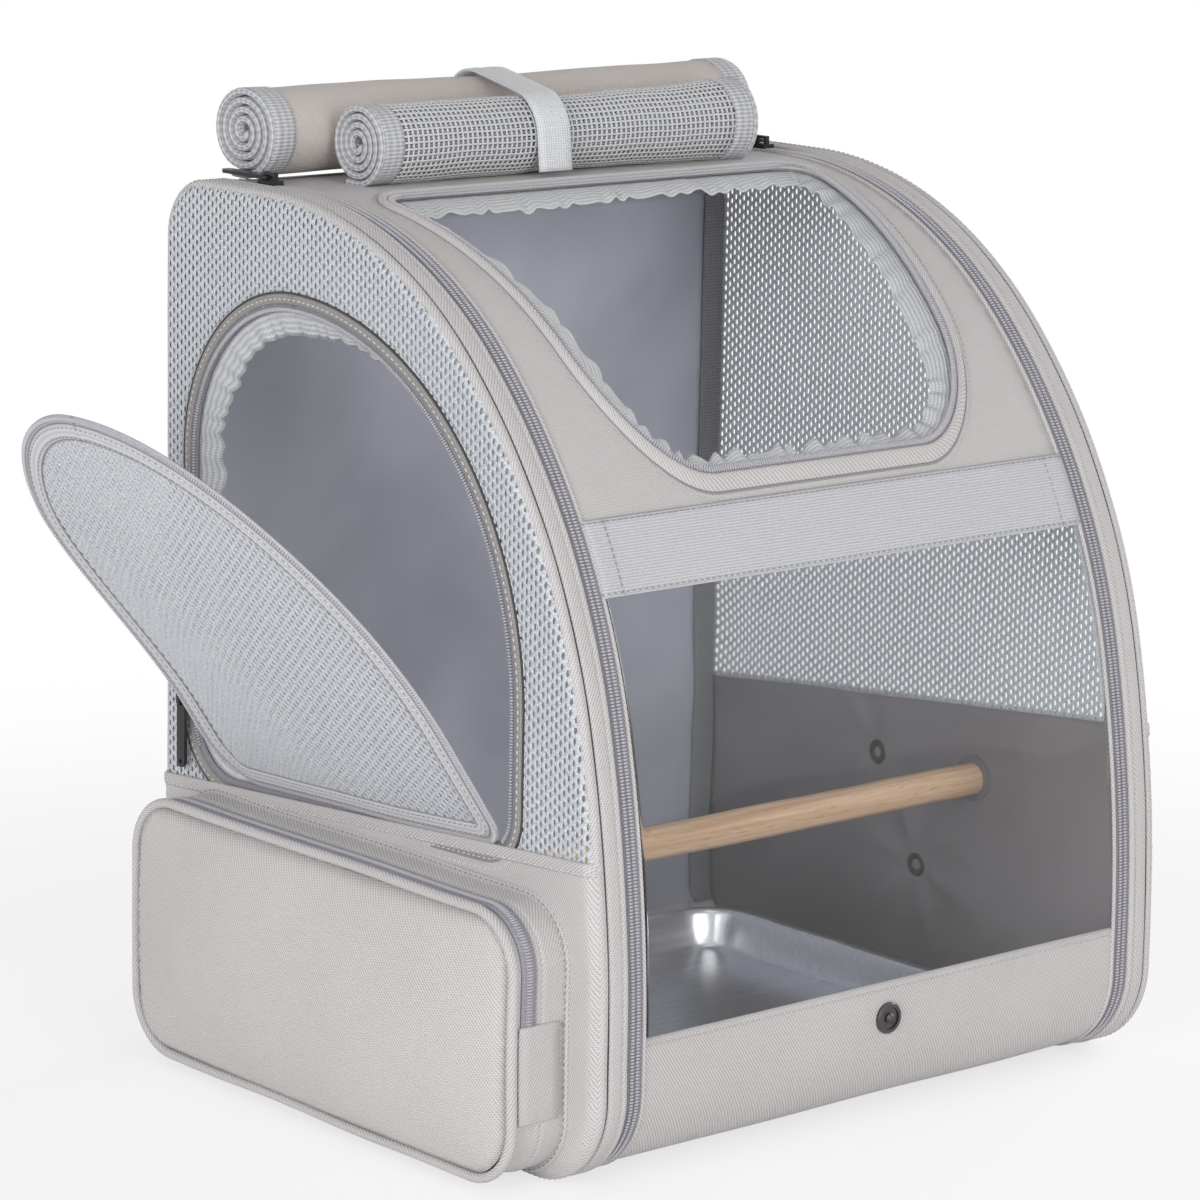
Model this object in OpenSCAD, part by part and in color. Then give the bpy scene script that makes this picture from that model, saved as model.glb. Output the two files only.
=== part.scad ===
// Backpack carrier for a small bird: a soft bag with a quarter-arch profile,
// mesh sides, a clear front window, a side door, a zipped side pocket,
// a wooden perch and a shallow steel tray.
// Millimetres. X runs across the bag, -Y is its front, Z is up.
// The origin is the centre of the base, on its underside.

/* [Bag] */
// Width across the outer faces of the two side panels
bag_w = 360; // [320:1:420]
// Depth from the front face to the back panel
bag_d = 324; // [300:1:370]
// Height from the underside to the flat top
bag_h = 420; // [390:1:470]
// Thickness of the front, top, back and base layers
shell_t = 4; // [3:0.5:6]
// Thickness of the side panels
panel_t = 3; // [2:0.5:5]
// Thickness of the satin linings
lining_t = 1.2; // [0.8:0.1:2]

/* [Arch profile] */
// Radius of the bend in front of the flat top
bend_1_r = 210; // [190:1:225]
// Radius of the bend over the shoulder
bend_2_r = 310; // [290:1:325]
// Steepness where the first bend ends, in degrees
bend_1_end = 45; // [41:1:48]
// Steepness where the second bend ends, in degrees
bend_2_end = 78; // [75:1:81]
// Upright stretch above the front bottom corner
front_straight = 20; // [10:1:40]
// Radius of the front bottom corner
front_corner_r = 45; // [36:1:55]
// Radius of the back bottom corner
back_corner_r = 20; // [18:1:26]
// Radius of the back top corner
back_top_r = 28; // [22:1:34]

/* [Side arches] */
// Width of the fabric border on the side faces
side_border = 16; // [12:1:17]
// Rounding of the edge between the sides and the front
edge_r = 7; // [5:1:10]
// Width of the fabric border on the front and top faces
front_border = 19; // [14:1:26]
// Width of the arch zip with both of its tapes
zip_w = 10; // [8:1:14]
// Depth of the zip tape below the border
zip_sink = 1.4; // [1:0.1:2]
// Width of the zip coil
coil_w = 4; // [3:0.1:5]
// Depth of the zip coil's top below the border
coil_sink = 0.2; // [0:0.1:0.4]
// Depth of the front panels below the border
front_sink = 1.5; // [1:0.1:2.2]

/* [Side panels] */
// Height of the left mesh seam at the middle of the side
left_seam_z = 140; // [120:1:146]
// Fall of the left seam towards the back, per millimetre
left_seam_fall = 0.067; // [0:0.001:0.08]
// Height of the right mesh seam at the middle of the side
right_seam_z = 148; // [130:1:160]
// Fall of the right seam towards the back, per millimetre
right_seam_fall = 0.097; // [0:0.001:0.12]
// Thickness of the side nets
net_t = 1.6; // [1.2:0.1:2.5]
// Spacing of the net's gaps along a row
gap_pitch = 20; // [18:1:30]
// Width of a gap in the nets
gap_w = 13; // [6:0.5:14]
// Solid margin between the gaps and the edge of a net
net_margin = 5; // [3:0.5:10]

/* [Side door] */
// Height of the fold that the door hangs on, at mid depth
hinge_z = 142.4; // [138:0.1:160]
// Tilt of that fold, in degrees
hinge_tilt = 2.5; // [0:0.1:4]
// Place of the opening's back edge
door_back_y = 135; // [125:1:138]
// Width of the door
door_w = 235; // [215:1:238]
// Height of the door's highest point above the floor
door_top_z = 367; // [340:1:372]
// Radius of the door's back shoulder
door_back_r = 75; // [60:1:90]
// Width of the zip around the door opening
door_zip_w = 8; // [6:0.5:9]
// Width of the binding around the door
door_binding_w = 9; // [7:0.5:12]
// Thickness of the door's binding
door_t = 2.3; // [1.8:0.1:3]
// Gap between the shut door and its opening
door_gap = 0.6; // [0.4:0.1:1]
// Width of the ruffled elastic inside the openings
elastic_w = 14; // [8:1:15]
// Thickness of the ruffled elastic
elastic_t = 1.5; // [1:0.1:2.5]
// Angle between the shut door and the open door shown here
door_open = 33; // [0:1:60]

/* [Front] */
// Height of the lower front panel's top edge
lower_top_z = 69; // [55:1:85]
// Height of the webbing band's lower edge
band_z = 262; // [245:1:268]
// Width of the webbing band
band_w = 32; // [25:1:38]
// Thickness of the webbing band
band_t = 1.2; // [0.8:0.1:1.4]
// Thickness of the clear window
window_t = 0.8; // [0.5:0.1:1.2]
// Diameter of the snap on the lower panel
snap_d = 15; // [12:0.5:20]
// Height of the snap above the floor
snap_z = 51.5; // [40:0.5:58]

/* [Top opening] */
// Half width of the opening at its back edge
top_back_half = 134; // [110:1:138]
// Half width of the opening at its front edge
top_front_half = 107; // [90:1:115]
// Place of the opening's back edge
top_back_y = 56; // [45:1:60]
// Strip of fabric between the opening and the webbing band
top_front_strip = 15; // [14:1:30]
// Radius of the opening's front corners
top_front_r = 50; // [30:1:60]
// Radius of the opening's back corners
top_back_r = 14; // [8:1:30]
// Width of the zip around the opening
top_zip_w = 9; // [6:0.5:12]

/* [Rolled covers] */
// Room between the fabric roll's ends and the arch zips' pulls
cover_end_gap = 3; // [1:0.5:20]
// Width of the rolled fabric cover, front to back
cover_roll_w = 50; // [44:1:54]
// Height of the rolled fabric cover
cover_roll_h = 44; // [38:1:50]
// Thickness of the cover's fabric with its tape
cover_t = 2.2; // [1.6:0.1:2.6]
// Turns in the rolled cover
cover_turns = 4.25; // [3.25:1:5.25]
// Length of the rolled mesh cover
screen_len = 234; // [200:1:260]
// Diameter of the rolled mesh cover
screen_roll_d = 39; // [34:1:41]
// Thickness of the mesh cover
screen_t = 1.5; // [1:0.1:2]
// Turns in the rolled mesh cover
screen_turns = 4.25; // [3.25:1:5.25]
// Place of the mesh roll's middle
screen_y = 91.5; // [86:0.5:91.5]
// Length of fabric between each roll and its seam
roll_tail = 8; // [4:1:12]
// Width of the strap that holds the rolls
roll_strap_w = 20; // [15:1:30]
// Thickness of that strap
roll_strap_t = 1.6; // [1:0.1:2.4]
// Length of the strap's back end, sewn to the back panel
strap_foot = 40; // [20:1:60]

/* [Pocket] */
// Place of the pocket's front edge
pocket_front_y = -141; // [-150:1:-120]
// Place of the pocket's back edge
pocket_back_y = 140; // [120:1:146]
// Height of the pocket's underside
pocket_low_z = 6; // [4:1:16]
// Height of the pocket's top
pocket_top_z = 129; // [115:1:129]
// Radius of the pocket's corners
pocket_r = 28; // [18:1:36]
// Depth of the pocket's side wall
pocket_depth = 27; // [20:1:40]
// Bulge of the pocket's front beyond its side wall
pocket_crown = 16; // [8:1:22]
// Thickness of the pocket's walls
pocket_wall = 2.5; // [1.5:0.5:4]
// Thickness of the pocket's front
pocket_front_t = 3; // [2:0.5:5]
// Radius of the piping around the pocket's front
piping_r = 2.2; // [1.5:0.1:3]
// Height where the pocket's zip ends on both sides
pocket_zip_z = 76; // [65:1:90]
// Width of the pocket's zip
pocket_zip_w = 8; // [6:0.5:10]
// Thickness of the pocket's zip
pocket_zip_t = 1.2; // [0.8:0.1:2]

/* [Zip sliders] */
// Length of a zip slider
slider_len = 11; // [9:0.5:14]
// Width of a zip slider
slider_w = 7; // [6:0.5:8]
// Thickness of a slider's crown
slider_t = 1.6; // [1.2:0.1:2.2]
// Length of a zip pull
pull_len = 36; // [24:1:37]
// Width of a zip pull
pull_w = 6; // [5:0.5:8]
// Thickness of a zip pull
pull_t = 1.8; // [1.2:0.1:2.4]
// Height of the side door's slider when it is fully down
door_slider_z = 174; // [174:1:200]
// Height of the pocket's slider when it is fully down
pocket_slider_z = 82; // [82:1:88]
// Place of the arch sliders along the flat top
arch_slider_y = 108; // [104:1:112]

/* [Inside] */
// Thickness of the stiff base board
board_t = 3; // [2:0.5:5]
// Width of the tray over its rim
tray_w = 264; // [220:1:300]
// Depth of the tray over its rim
tray_d = 214; // [180:1:220]
// Height of the tray
tray_h = 20; // [14:1:30]
// Thickness of the tray's sheet
tray_t = 1; // [0.8:0.1:1.6]
// Slope of the tray's walls, as run over its height
tray_flare = 7; // [3:1:12]
// Radius of the tray's corners at the rim
tray_r = 30; // [20:1:40]
// Width of the tray's turned rim
tray_rim = 4; // [2:0.5:8]
// Place of the tray's middle
tray_y = -4; // [-6:1:6]
// Diameter of the perch
perch_d = 16; // [12:0.5:20]
// Place of the perch
perch_y = -39; // [-55:1:-30]
// Height of the perch
perch_z = 115; // [95:1:115]
// Outer diameter of the washers at the perch's ends
washer_d = 24; // [21:0.5:30]
// Thickness of those washers
washer_t = 1.2; // [0.8:0.1:2]
// Diameter of the perch screws
screw_d = 4; // [3:0.5:5]
// Depth of the perch screws in the perch
screw_grip = 25; // [15:1:40]
// Diameter of the perch screws' heads
screw_head_d = 12; // [9:0.5:16]
// Height of the perch screws' heads
screw_head_h = 2.4; // [1.6:0.1:4]
// Distance between the perch and the spare hole beside it
spare_reach = 69; // [60:1:75]
// Place of the lower spare hole
low_spare_y = -1; // [-12:1:12]
// Height of the lower spare hole
low_spare_z = 62; // [50:1:75]
// Bore of the eyelets
eyelet_bore = 6; // [4:0.5:8]
// Outer diameter of the eyelets
eyelet_d = 18; // [15:0.5:22]
// Thickness of an eyelet's flange
eyelet_t = 1.2; // [0.8:0.1:2]
// Width of the binding tape in the inner corners
tape_w = 14; // [8:1:20]

/* [Back] */
// Width of the shoulder pads
pad_w = 60; // [50:1:65]
// Distance of each pad's middle from the bag's middle
pad_x = 75; // [70:1:80]
// Thickness of the shoulder pads
pad_t = 10; // [6:1:14]
// Height of the pads' upper ends
pad_top_z = 384; // [370:1:386]
// Height of the pads' lower ends
pad_low_z = 150; // [130:1:180]
// Bow of the pads away from the back
pad_bow = 24; // [16:1:30]
// Width of the webbing below the pads
webbing_w = 25; // [20:1:30]
// Thickness of the webbing
webbing_t = 1.6; // [1.2:0.1:2.5]
// Width of the strap adjusters
adjuster_w = 34; // [32:1:40]
// Height of the strap adjusters
adjuster_h = 28; // [24:1:36]
// Thickness of the strap adjusters
adjuster_t = 5; // [4:0.5:7]
// Height where the webbing is sewn to the back
anchor_z = 30; // [26:1:50]
// Length of the handle between its ends
handle_len = 76; // [66:1:80]
// Width of the handle's webbing
handle_w = 25; // [20:1:30]
// Thickness of the handle
handle_t = 4; // [3:0.5:6]
// Reach of the handle behind the back
handle_reach = 26; // [20:1:34]
// Height of the handle's middle
handle_z = 360; // [330:1:372]

/* [Hidden] */

// running clearance between pieces that move past each other
gap = 0.3;
// a length past every face of the bag, for cutting
far = 2000;

half_w = bag_w / 2;
half_d = bag_d / 2;
zip_out = half_w - front_border;
zip_in = zip_out - zip_w;
panel_in = half_w - panel_t;
lining_in = panel_in - lining_t;
coil_rise = zip_sink - coil_sink;

// ---- the arch profile, in the plane of depth (y) and height (z) ----
// Each arc is [centre, radius, start angle, end angle, steps, first step].
// All arcs meet at shared tangents, so one offset serves every inner line.
bend_3_r = (bag_h - bend_1_r * (1 - cos(bend_1_end))
    - bend_2_r * (cos(bend_1_end) - cos(bend_2_end))
    - front_straight - front_corner_r) / cos(bend_2_end);
flat_y = -half_d + bend_1_r * sin(bend_1_end)
    + bend_2_r * (sin(bend_2_end) - sin(bend_1_end)) + bend_3_r * (1 - sin(bend_2_end));

function heading(a) = [-sin(a), cos(a)];

bend_1_c = [flat_y, bag_h - bend_1_r];
bend_2_c = bend_1_c + (bend_1_r - bend_2_r) * heading(bend_1_end);
bend_3_c = bend_2_c + (bend_2_r - bend_3_r) * heading(bend_2_end);
profile_arcs = [
    [[half_d - back_top_r, bag_h - back_top_r], back_top_r, 0, 90, 5, 0],
    [bend_1_c, bend_1_r, 90, 90 + bend_1_end, 9, 0],
    [bend_2_c, bend_2_r, 90 + bend_1_end, 90 + bend_2_end, 6, 1],
    [bend_3_c, bend_3_r, 90 + bend_2_end, 180, 3, 1],
    [[-half_d + front_corner_r, front_corner_r], front_corner_r, 180, 270, 7, 0],
    [[half_d - back_corner_r, back_corner_r], back_corner_r, 270, 360, 4, 0]];
// the arch zips run from the end of the flat top to the front of the underside
zip_first = 5;
zip_last = 32;

function arc_path(arcs, grow = 0) = [for (a = arcs) for (i = [a[5] : a[4]])
    let (turn = a[2] + (a[3] - a[2]) * i / a[4])
    a[0] + (a[1] + grow) * [cos(turn), sin(turn)]];

function profile(inset = 0) = arc_path(profile_arcs, -inset);

bend_1_end_z = bend_1_c[1] + bend_1_r * cos(bend_1_end);
bend_2_end_z = bend_2_c[1] + bend_2_r * cos(bend_2_end);

function on_arc(c, r, z) = c[0] - sqrt(r * r - (z - c[1]) * (z - c[1]));

// depth of the front face at a height
function front_y(z, inset = 0) =
    z > bend_1_end_z ? on_arc(bend_1_c, bend_1_r - inset, z) :
    z > bend_2_end_z ? on_arc(bend_2_c, bend_2_r - inset, z) :
    z > bend_3_c[1] ? on_arc(bend_3_c, bend_3_r - inset, z) : -half_d + inset;

// height of the top face at a depth in front of the flat top
function top_z(y, inset = 0) = y > bend_1_c[0] ? bag_h - inset :
    bend_1_c[1] + sqrt((bend_1_r - inset) * (bend_1_r - inset)
    - (y - bend_1_c[0]) * (y - bend_1_c[0]));

// ---- general shapes ----
function unit(v) = v / norm(v);
function turned(a) = a > 180 ? a - 360 : a < -180 ? a + 360 : a;
function reversed(list) = [for (i = [len(list) - 1 : -1 : 0]) list[i]];
function part_of(path, first, last) = [for (i = [first : last]) path[i]];

// a corner rounded by an arc of the given radius
function fillet(a, b, c, r, steps) =
    let (u = unit(a - b), v = unit(c - b), half = acos(u * v) / 2,
        mid = b + unit(u + v) * r / sin(half),
        p = b + u * r / tan(half) - mid, q = b + v * r / tan(half) - mid,
        from = atan2(p[1], p[0]), sweep = turned(atan2(q[1], q[0]) - from))
    [for (i = [0 : steps]) mid + r * [cos(from + sweep * i / steps), sin(from + sweep * i / steps)]];

function rounded(corners, radii, steps = 6) = let (n = len(corners))
    [for (i = [0 : n - 1])
        for (p = fillet(corners[(i + n - 1) % n], corners[i], corners[(i + 1) % n], radii[i], steps)) p];

// depth of a point inside a convex outline drawn anticlockwise
function depth_in(p, path) = let (n = len(path)) min([for (i = [0 : n - 1])
    let (a = path[i], d = unit(path[(i + 1) % n] - a))
    d[0] * (p[1] - a[1]) - d[1] * (p[0] - a[0])]);

// skin around a closed section that follows a path: rings[section point][path point]
module loft(rings, closed = true) {
    n = len(rings);
    m = len(rings[0]);
    last = closed ? m - 1 : m - 2;
    skin = [for (s = [0 : n - 1]) for (j = [0 : last])
        let (t = (s + 1) % n, k = (j + 1) % m)
        each [[s * m + j, t * m + k, s * m + k], [s * m + j, t * m + j, t * m + k]]];
    caps = closed ? [] : [[for (s = [n - 1 : -1 : 0]) s * m], [for (s = [0 : n - 1]) s * m + m - 1]];
    polyhedron([for (ring = rings) each ring], concat(skin, caps), convexity = 6);
}

// skin over a stack of rings, closed by its first and last ring
module stack(rings) {
    n = len(rings);
    m = len(rings[0]);
    skin = [for (s = [0 : n - 2]) for (j = [0 : m - 1]) let (k = (j + 1) % m)
        each [[s * m + j, s * m + k, (s + 1) * m + k], [s * m + j, (s + 1) * m + k, (s + 1) * m + j]]];
    caps = [[for (j = [m - 1 : -1 : 0]) j], [for (j = [0 : m - 1]) (n - 1) * m + j]];
    polyhedron([for (ring = rings) each ring], concat(skin, caps), convexity = 6);
}

// a flat outline in the side plane, thick from x0 to x1
module side_plate(x0, x1) {
    translate([x0, 0, 0]) rotate([90, 0, 90]) linear_extrude(x1 - x0) children();
}

// a layer that follows the whole profile between two insets
module shell(half, outer, inner) {
    side_plate(-half, half) difference() {
        polygon(profile(outer));
        polygon(profile(inner));
    }
}

module heights(low, high) {
    translate([-far, -far, low]) cube([2 * far, 2 * far, high - low]);
}

module behind(y) {
    translate([-far, y, -far]) cube([2 * far, far, 2 * far]);
}

module other_side() {
    mirror([1, 0, 0]) children();
}

// a round bar along X
module bar(x0, x1, y, z, d) {
    translate([x0, y, z]) rotate([0, 90, 0]) cylinder(h = x1 - x0, d = d, $fn = 48);
}

// ---- base and back ----
front_corner_y = -half_d + front_corner_r;
back_corner_y = half_d - back_corner_r;
back_top_y = half_d - back_top_r;

module base_panel() color("#cfccca") {
    translate([-zip_out, front_corner_y, 0])
        cube([2 * zip_out, back_corner_y - front_corner_y, shell_t]);
}

board_side = 2;
module base_board() color("#8a8883") {
    translate([-lining_in + board_side, front_corner_y, shell_t])
        cube([2 * (lining_in - board_side), back_corner_y - front_corner_y, board_t]);
}

module back_panel() color("#c6c3c1") intersection() {
    shell(zip_out, 0, shell_t);
    union() {
        intersection() {
            behind(back_corner_y);
            heights(-1, bag_h / 2);
        }
        intersection() {
            behind(back_top_y);
            heights(bag_h / 2, bag_h + 1);
        }
    }
}

back_in = half_d - shell_t;
module back_lining() color("#85868d") {
    translate([-lining_in, back_in - lining_t, back_corner_r])
        cube([2 * lining_in, lining_t, bag_h - back_top_r - back_corner_r]);
}

module corner_tapes() color("#6f7076") for (side = [-1, 1]) {
    translate([side * (lining_in - tape_w / 2) - tape_w / 2, back_in - 2 * lining_t, back_corner_r])
        cube([tape_w, lining_t, bag_h - back_top_r - back_corner_r]);
}

// ---- arch frames and zips ----
edge_steps = 4;
frame_section = concat([[half_w, side_border]],
    [for (i = [0 : edge_steps]) let (a = 90 * i / edge_steps)
        [half_w - edge_r + edge_r * cos(a), edge_r - edge_r * sin(a)]],
    [[zip_out, 0], [zip_out, shell_t], [panel_in, shell_t], [panel_in, side_border]]);

module right_arch_frame() color("#cbc8c6")
    loft([for (s = reversed(frame_section)) [for (q = profile(s[1])) [s[0], q[0], q[1]]]]);

module left_arch_frame() other_side() right_arch_frame();

zip_mid = (zip_in + zip_out) / 2;

// a layer that follows the profile as far as the arch zips do
module zip_run(x0, x1, outer, inner) side_plate(x0, x1) polygon(concat(
    part_of(profile(outer), zip_first, zip_last),
    reversed(part_of(profile(inner), zip_first, zip_last))));

module right_arch_zip() color("#9a98a3") {
    zip_run(zip_in, zip_out, zip_sink, shell_t);
    zip_run(zip_mid - coil_w / 2, zip_mid + coil_w / 2, zip_sink - coil_rise, shell_t);
}

module left_arch_zip() other_side() right_arch_zip();

// ---- side panels ----
// outline of the side door's opening, grown by g
fold_dir = 270 - hinge_tilt;
door_front_y = door_back_y - door_w;
door_shoulder_y = door_back_y - door_back_r;
door_front_r = door_w - door_back_r;
low_back_r = 30;
low_front_r = 16;

// height of a corner's centre that makes its arc touch the fold line
function above_fold(y, r) = hinge_z - (r + cos(fold_dir) * y) / sin(fold_dir);

door_arcs = [
    [[door_shoulder_y, door_top_z - door_back_r], door_back_r, 0, 90, 7, 0],
    [[door_shoulder_y, door_top_z - door_front_r], door_front_r, 90, 180, 11, 1],
    [[door_front_y + low_front_r, above_fold(door_front_y + low_front_r, low_front_r)],
        low_front_r, 180, fold_dir, 3, 0],
    [[door_back_y - low_back_r, above_fold(door_back_y - low_back_r, low_back_r)],
        low_back_r, fold_dir, 360, 4, 0]];

function door_outline(grow = 0) = arc_path(door_arcs, grow);

// everything above or below a side seam
function seam_z(mid, fall, y) = mid - fall * y;
module above_seam(mid, fall) polygon([[-far, seam_z(mid, fall, -far)], [far, seam_z(mid, fall, far)],
    [far, far], [-far, far]]);
module below_seam(mid, fall) polygon([[-far, seam_z(mid, fall, -far)], [-far, -far],
    [far, -far], [far, seam_z(mid, fall, far)]]);

// centres of the staggered gaps of a net
row_pitch = gap_pitch * 0.87;
function gap_centres() = [for (row = [0 : ceil(bag_h / row_pitch)])
    for (i = [-ceil(half_d / gap_pitch) : ceil(half_d / gap_pitch)])
        [(i + (row % 2) / 2) * gap_pitch, row * row_pitch]];

module net_gaps(centres) for (c = centres) translate(c) rotate(30) circle(d = gap_w, $fn = 6);

gap_room = net_margin + gap_w / 2;
net_out = half_w - panel_t / 2 + net_t / 2;
net_in = half_w - panel_t / 2 - net_t / 2;
panel_line = profile(side_border);
left_gaps = [for (c = gap_centres())
    if (depth_in(c, panel_line) > gap_room && depth_in(c, door_outline(door_zip_w)) < -gap_room
        && c[1] > seam_z(left_seam_z, left_seam_fall, c[0]) + gap_room) c];
right_gaps = [for (c = gap_centres())
    if (depth_in(c, panel_line) > gap_room && c[1] > seam_z(right_seam_z, right_seam_fall, c[0]) + gap_room) c];
door_gaps = [for (c = gap_centres())
    if (depth_in(c, door_outline(-door_gap - door_binding_w)) > gap_room) c];

module left_side_mesh() color("#d3d6db") side_plate(-net_out, -net_in) difference() {
    intersection() {
        polygon(panel_line);
        above_seam(left_seam_z, left_seam_fall);
    }
    polygon(door_outline(door_zip_w));
    net_gaps(left_gaps);
}

module right_side_mesh() color("#d3d6db") side_plate(net_in, net_out) difference() {
    intersection() {
        polygon(panel_line);
        above_seam(right_seam_z, right_seam_fall);
    }
    net_gaps(right_gaps);
}

// the perch's hole and the two spare holes, as [y, z, hole diameter]
barrel_d = (eyelet_bore + eyelet_d) / 2;
spare_holes = [[perch_y + spare_reach, perch_z], [low_spare_y, low_spare_z]];

module panel_holes() {
    translate([perch_y, perch_z]) circle(d = screw_d, $fn = 32);
    for (h = spare_holes) translate(h) circle(d = barrel_d, $fn = 48);
}

module left_side_fabric() color("#cbc8c6") side_plate(-half_w, -panel_in) difference() {
    intersection() {
        polygon(panel_line);
        below_seam(left_seam_z, left_seam_fall);
    }
    polygon(door_outline(door_zip_w));
    panel_holes();
}

module right_side_fabric() color("#cbc8c6") side_plate(panel_in, half_w) difference() {
    intersection() {
        polygon(panel_line);
        below_seam(right_seam_z, right_seam_fall);
    }
    panel_holes();
}

module left_side_lining() color("#636268") side_plate(-panel_in, -lining_in) difference() {
    intersection() {
        polygon(panel_line);
        below_seam(left_seam_z, left_seam_fall);
    }
    polygon(door_outline(elastic_w));
    panel_holes();
}

module right_side_lining() color("#636268") side_plate(lining_in, panel_in) difference() {
    intersection() {
        polygon(panel_line);
        below_seam(right_seam_z, right_seam_fall);
    }
    panel_holes();
}

door_zip_out = half_w - gap;
door_zip_in = panel_in;

module side_opening_zip() color("#9a98a3") side_plate(-door_zip_out, -door_zip_in) difference() {
    polygon(door_outline(door_zip_w));
    polygon(door_outline());
}

module side_opening_elastic() color("#c9cacf")
    side_plate(-door_zip_in, -door_zip_in + elastic_t) difference() {
        polygon(door_outline(door_zip_w / 2));
        polygon(door_outline(-elastic_w));
    }

// ---- front and top ----
front_out = front_sink;
band_top_z = band_z + band_w;
panel_join_z = band_z + band_w / 2;
top_front_y = front_y(band_top_z + top_front_strip);
// the front edge lies on a slope, so it grows less in plan than the sides
front_grow = cos(bend_1_end);

function top_outline(g = 0) = rounded([
    [top_back_half + g, top_back_y + g], [-top_back_half - g, top_back_y + g],
    [-top_front_half - g, top_front_y - g * front_grow],
    [top_front_half + g, top_front_y - g * front_grow]],
    [top_back_r + g, top_back_r + g, top_front_r + g, top_front_r + g]);

module top_column(g) translate([0, 0, band_z]) linear_extrude(bag_h) polygon(top_outline(g));

module top_panel() color("#c9c6c4") difference() {
    shell(zip_in, front_out, shell_t);
    heights(-far, panel_join_z);
    behind(back_top_y);
    top_column(0);
}

module top_opening_zip() color("#9a98a3") intersection() {
    shell(zip_in, front_out - band_t, front_out);
    difference() {
        top_column(top_zip_w);
        top_column(gap);
    }
}

module top_opening_elastic() color("#c9cacf") intersection() {
    shell(zip_in, shell_t, shell_t + elastic_t);
    difference() {
        top_column(top_zip_w / 2);
        top_column(-elastic_w);
    }
}

module front_band() color("#bfc0c4") intersection() {
    shell(zip_in, front_out - band_t, front_out);
    heights(band_z, band_top_z);
    difference() {
        cube(2 * far, center = true);
        behind(0);
    }
}

module front_window() color("#dfe6ea") intersection() {
    shell(zip_in, front_out, front_out + window_t);
    heights(lower_top_z, panel_join_z);
    difference() {
        cube(2 * far, center = true);
        behind(0);
    }
}

module front_lower_panel() color("#c9c6c4") difference() {
    shell(zip_in, front_out, shell_t);
    heights(lower_top_z, far);
    behind(front_corner_y);
}

snap_base_t = 1.2;
snap_rim_h = 2;
snap_rim_w = 2.2;
snap_dome_d = 5;
module snap_stud() color("#4a4848")
    translate([0, front_y(snap_z) + front_out, snap_z]) rotate([90, 0, 0]) rotate_extrude($fn = 64)
        polygon([[0, 0], [snap_d / 2, 0], [snap_d / 2, snap_base_t],
            [snap_d / 2 - snap_rim_w / 3, snap_rim_h], [snap_d / 2 - snap_rim_w, snap_rim_h],
            [snap_d / 2 - snap_rim_w, snap_base_t], [snap_dome_d / 2, snap_base_t],
            [snap_dome_d / 2, snap_rim_h], [snap_dome_d / 4, snap_rim_h + snap_base_t],
            [0, snap_rim_h + snap_base_t]]);

// ---- rolled covers ----
// A roll is one strip wound anticlockwise from its heart to its foot, where
// its tail runs back to the seam. The winding is as wide and high as given.
steps_a_turn = 18;
heart = 0.16;

function winding(w, h, t, turns, side) = let (n = ceil(steps_a_turn * turns)) [for (i = [0 : n])
    let (share = heart + (1 - heart) * i / n, turn = 270 - 360 * turns * (n - i) / n)
    [(share * (w - t) / 2 + side * t / 2) * cos(turn), (share * (h - t) / 2 + side * t / 2) * sin(turn)]];

// least distance between the strip and its next turn
function least_gap(w, h, t, turns) =
    let (out = winding(w, h, t, turns, 1), in = winding(w, h, t, turns, -1), n = steps_a_turn)
    min([for (i = [0 : len(out) - 1]) for (k = [i + n - 4 : i + n + 4]) if (k < len(in))
        norm(out[i] - in[k])]);

function strip(w, h, t, turns, tail) = concat(winding(w, h, t, turns, 1),
    [[tail, -h / 2], [tail, -h / 2 + t]], reversed(winding(w, h, t, turns, -1)));

cover_gap = least_gap(cover_roll_w, cover_roll_h, cover_t, cover_turns);
screen_gap = least_gap(screen_roll_d, screen_roll_d, screen_t, screen_turns);
echo(least_gap_in_cover_roll = cover_gap, least_gap_in_mesh_roll = screen_gap);

strap_room = 0.5;
cover_len = 2 * (zip_mid - pull_w / 2 - cover_end_gap);
cover_y = half_d - strap_room - cover_roll_w / 2;
cover_mid = [cover_y, bag_h + cover_roll_h / 2];
screen_mid = [screen_y, bag_h - front_out + screen_roll_d / 2];

module wound(len, mid, w, h, t, turns, tail) side_plate(-len / 2, len / 2) translate(mid)
    polygon(strip(w, h, t, turns, tail));

module cover_roll() color("#bdb7b3")
    wound(cover_len, cover_mid, cover_roll_w, cover_roll_h, cover_t, cover_turns, roll_tail);

module mesh_roll() color("#c4c5c6")
    wound(screen_len, screen_mid, screen_roll_d, screen_roll_d, screen_t, screen_turns, roll_tail);

// the strap goes over both rolls: the farthest point of either in each direction
function farthest(mid, w, h, a) = let (n = norm([w * cos(a), h * sin(a)]))
    mid + [w * w * cos(a), h * h * sin(a)] / n;
function over_rolls(room, a) =
    let (p = farthest(cover_mid, cover_roll_w / 2 + room, cover_roll_h / 2 + room, a),
        q = farthest(screen_mid, screen_roll_d / 2 + room, screen_roll_d / 2 + room, a),
        dir = [cos(a), sin(a)])
    p * dir > q * dir ? p : q;
function strap_front(room) = screen_mid[0] - screen_roll_d / 2 - room;
function strap_line(room) = concat([[half_d + room - strap_room, bag_h - back_top_r - strap_foot]],
    [for (a = [0 : 12 : 180]) over_rolls(room, a)],
    [[strap_front(room), top_z(strap_front(room), front_out)]]);

module roll_strap() color("#c3c4c8") side_plate(-roll_strap_w / 2, roll_strap_w / 2)
    polygon(concat(strap_line(strap_room + roll_strap_t), reversed(strap_line(strap_room))));

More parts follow.
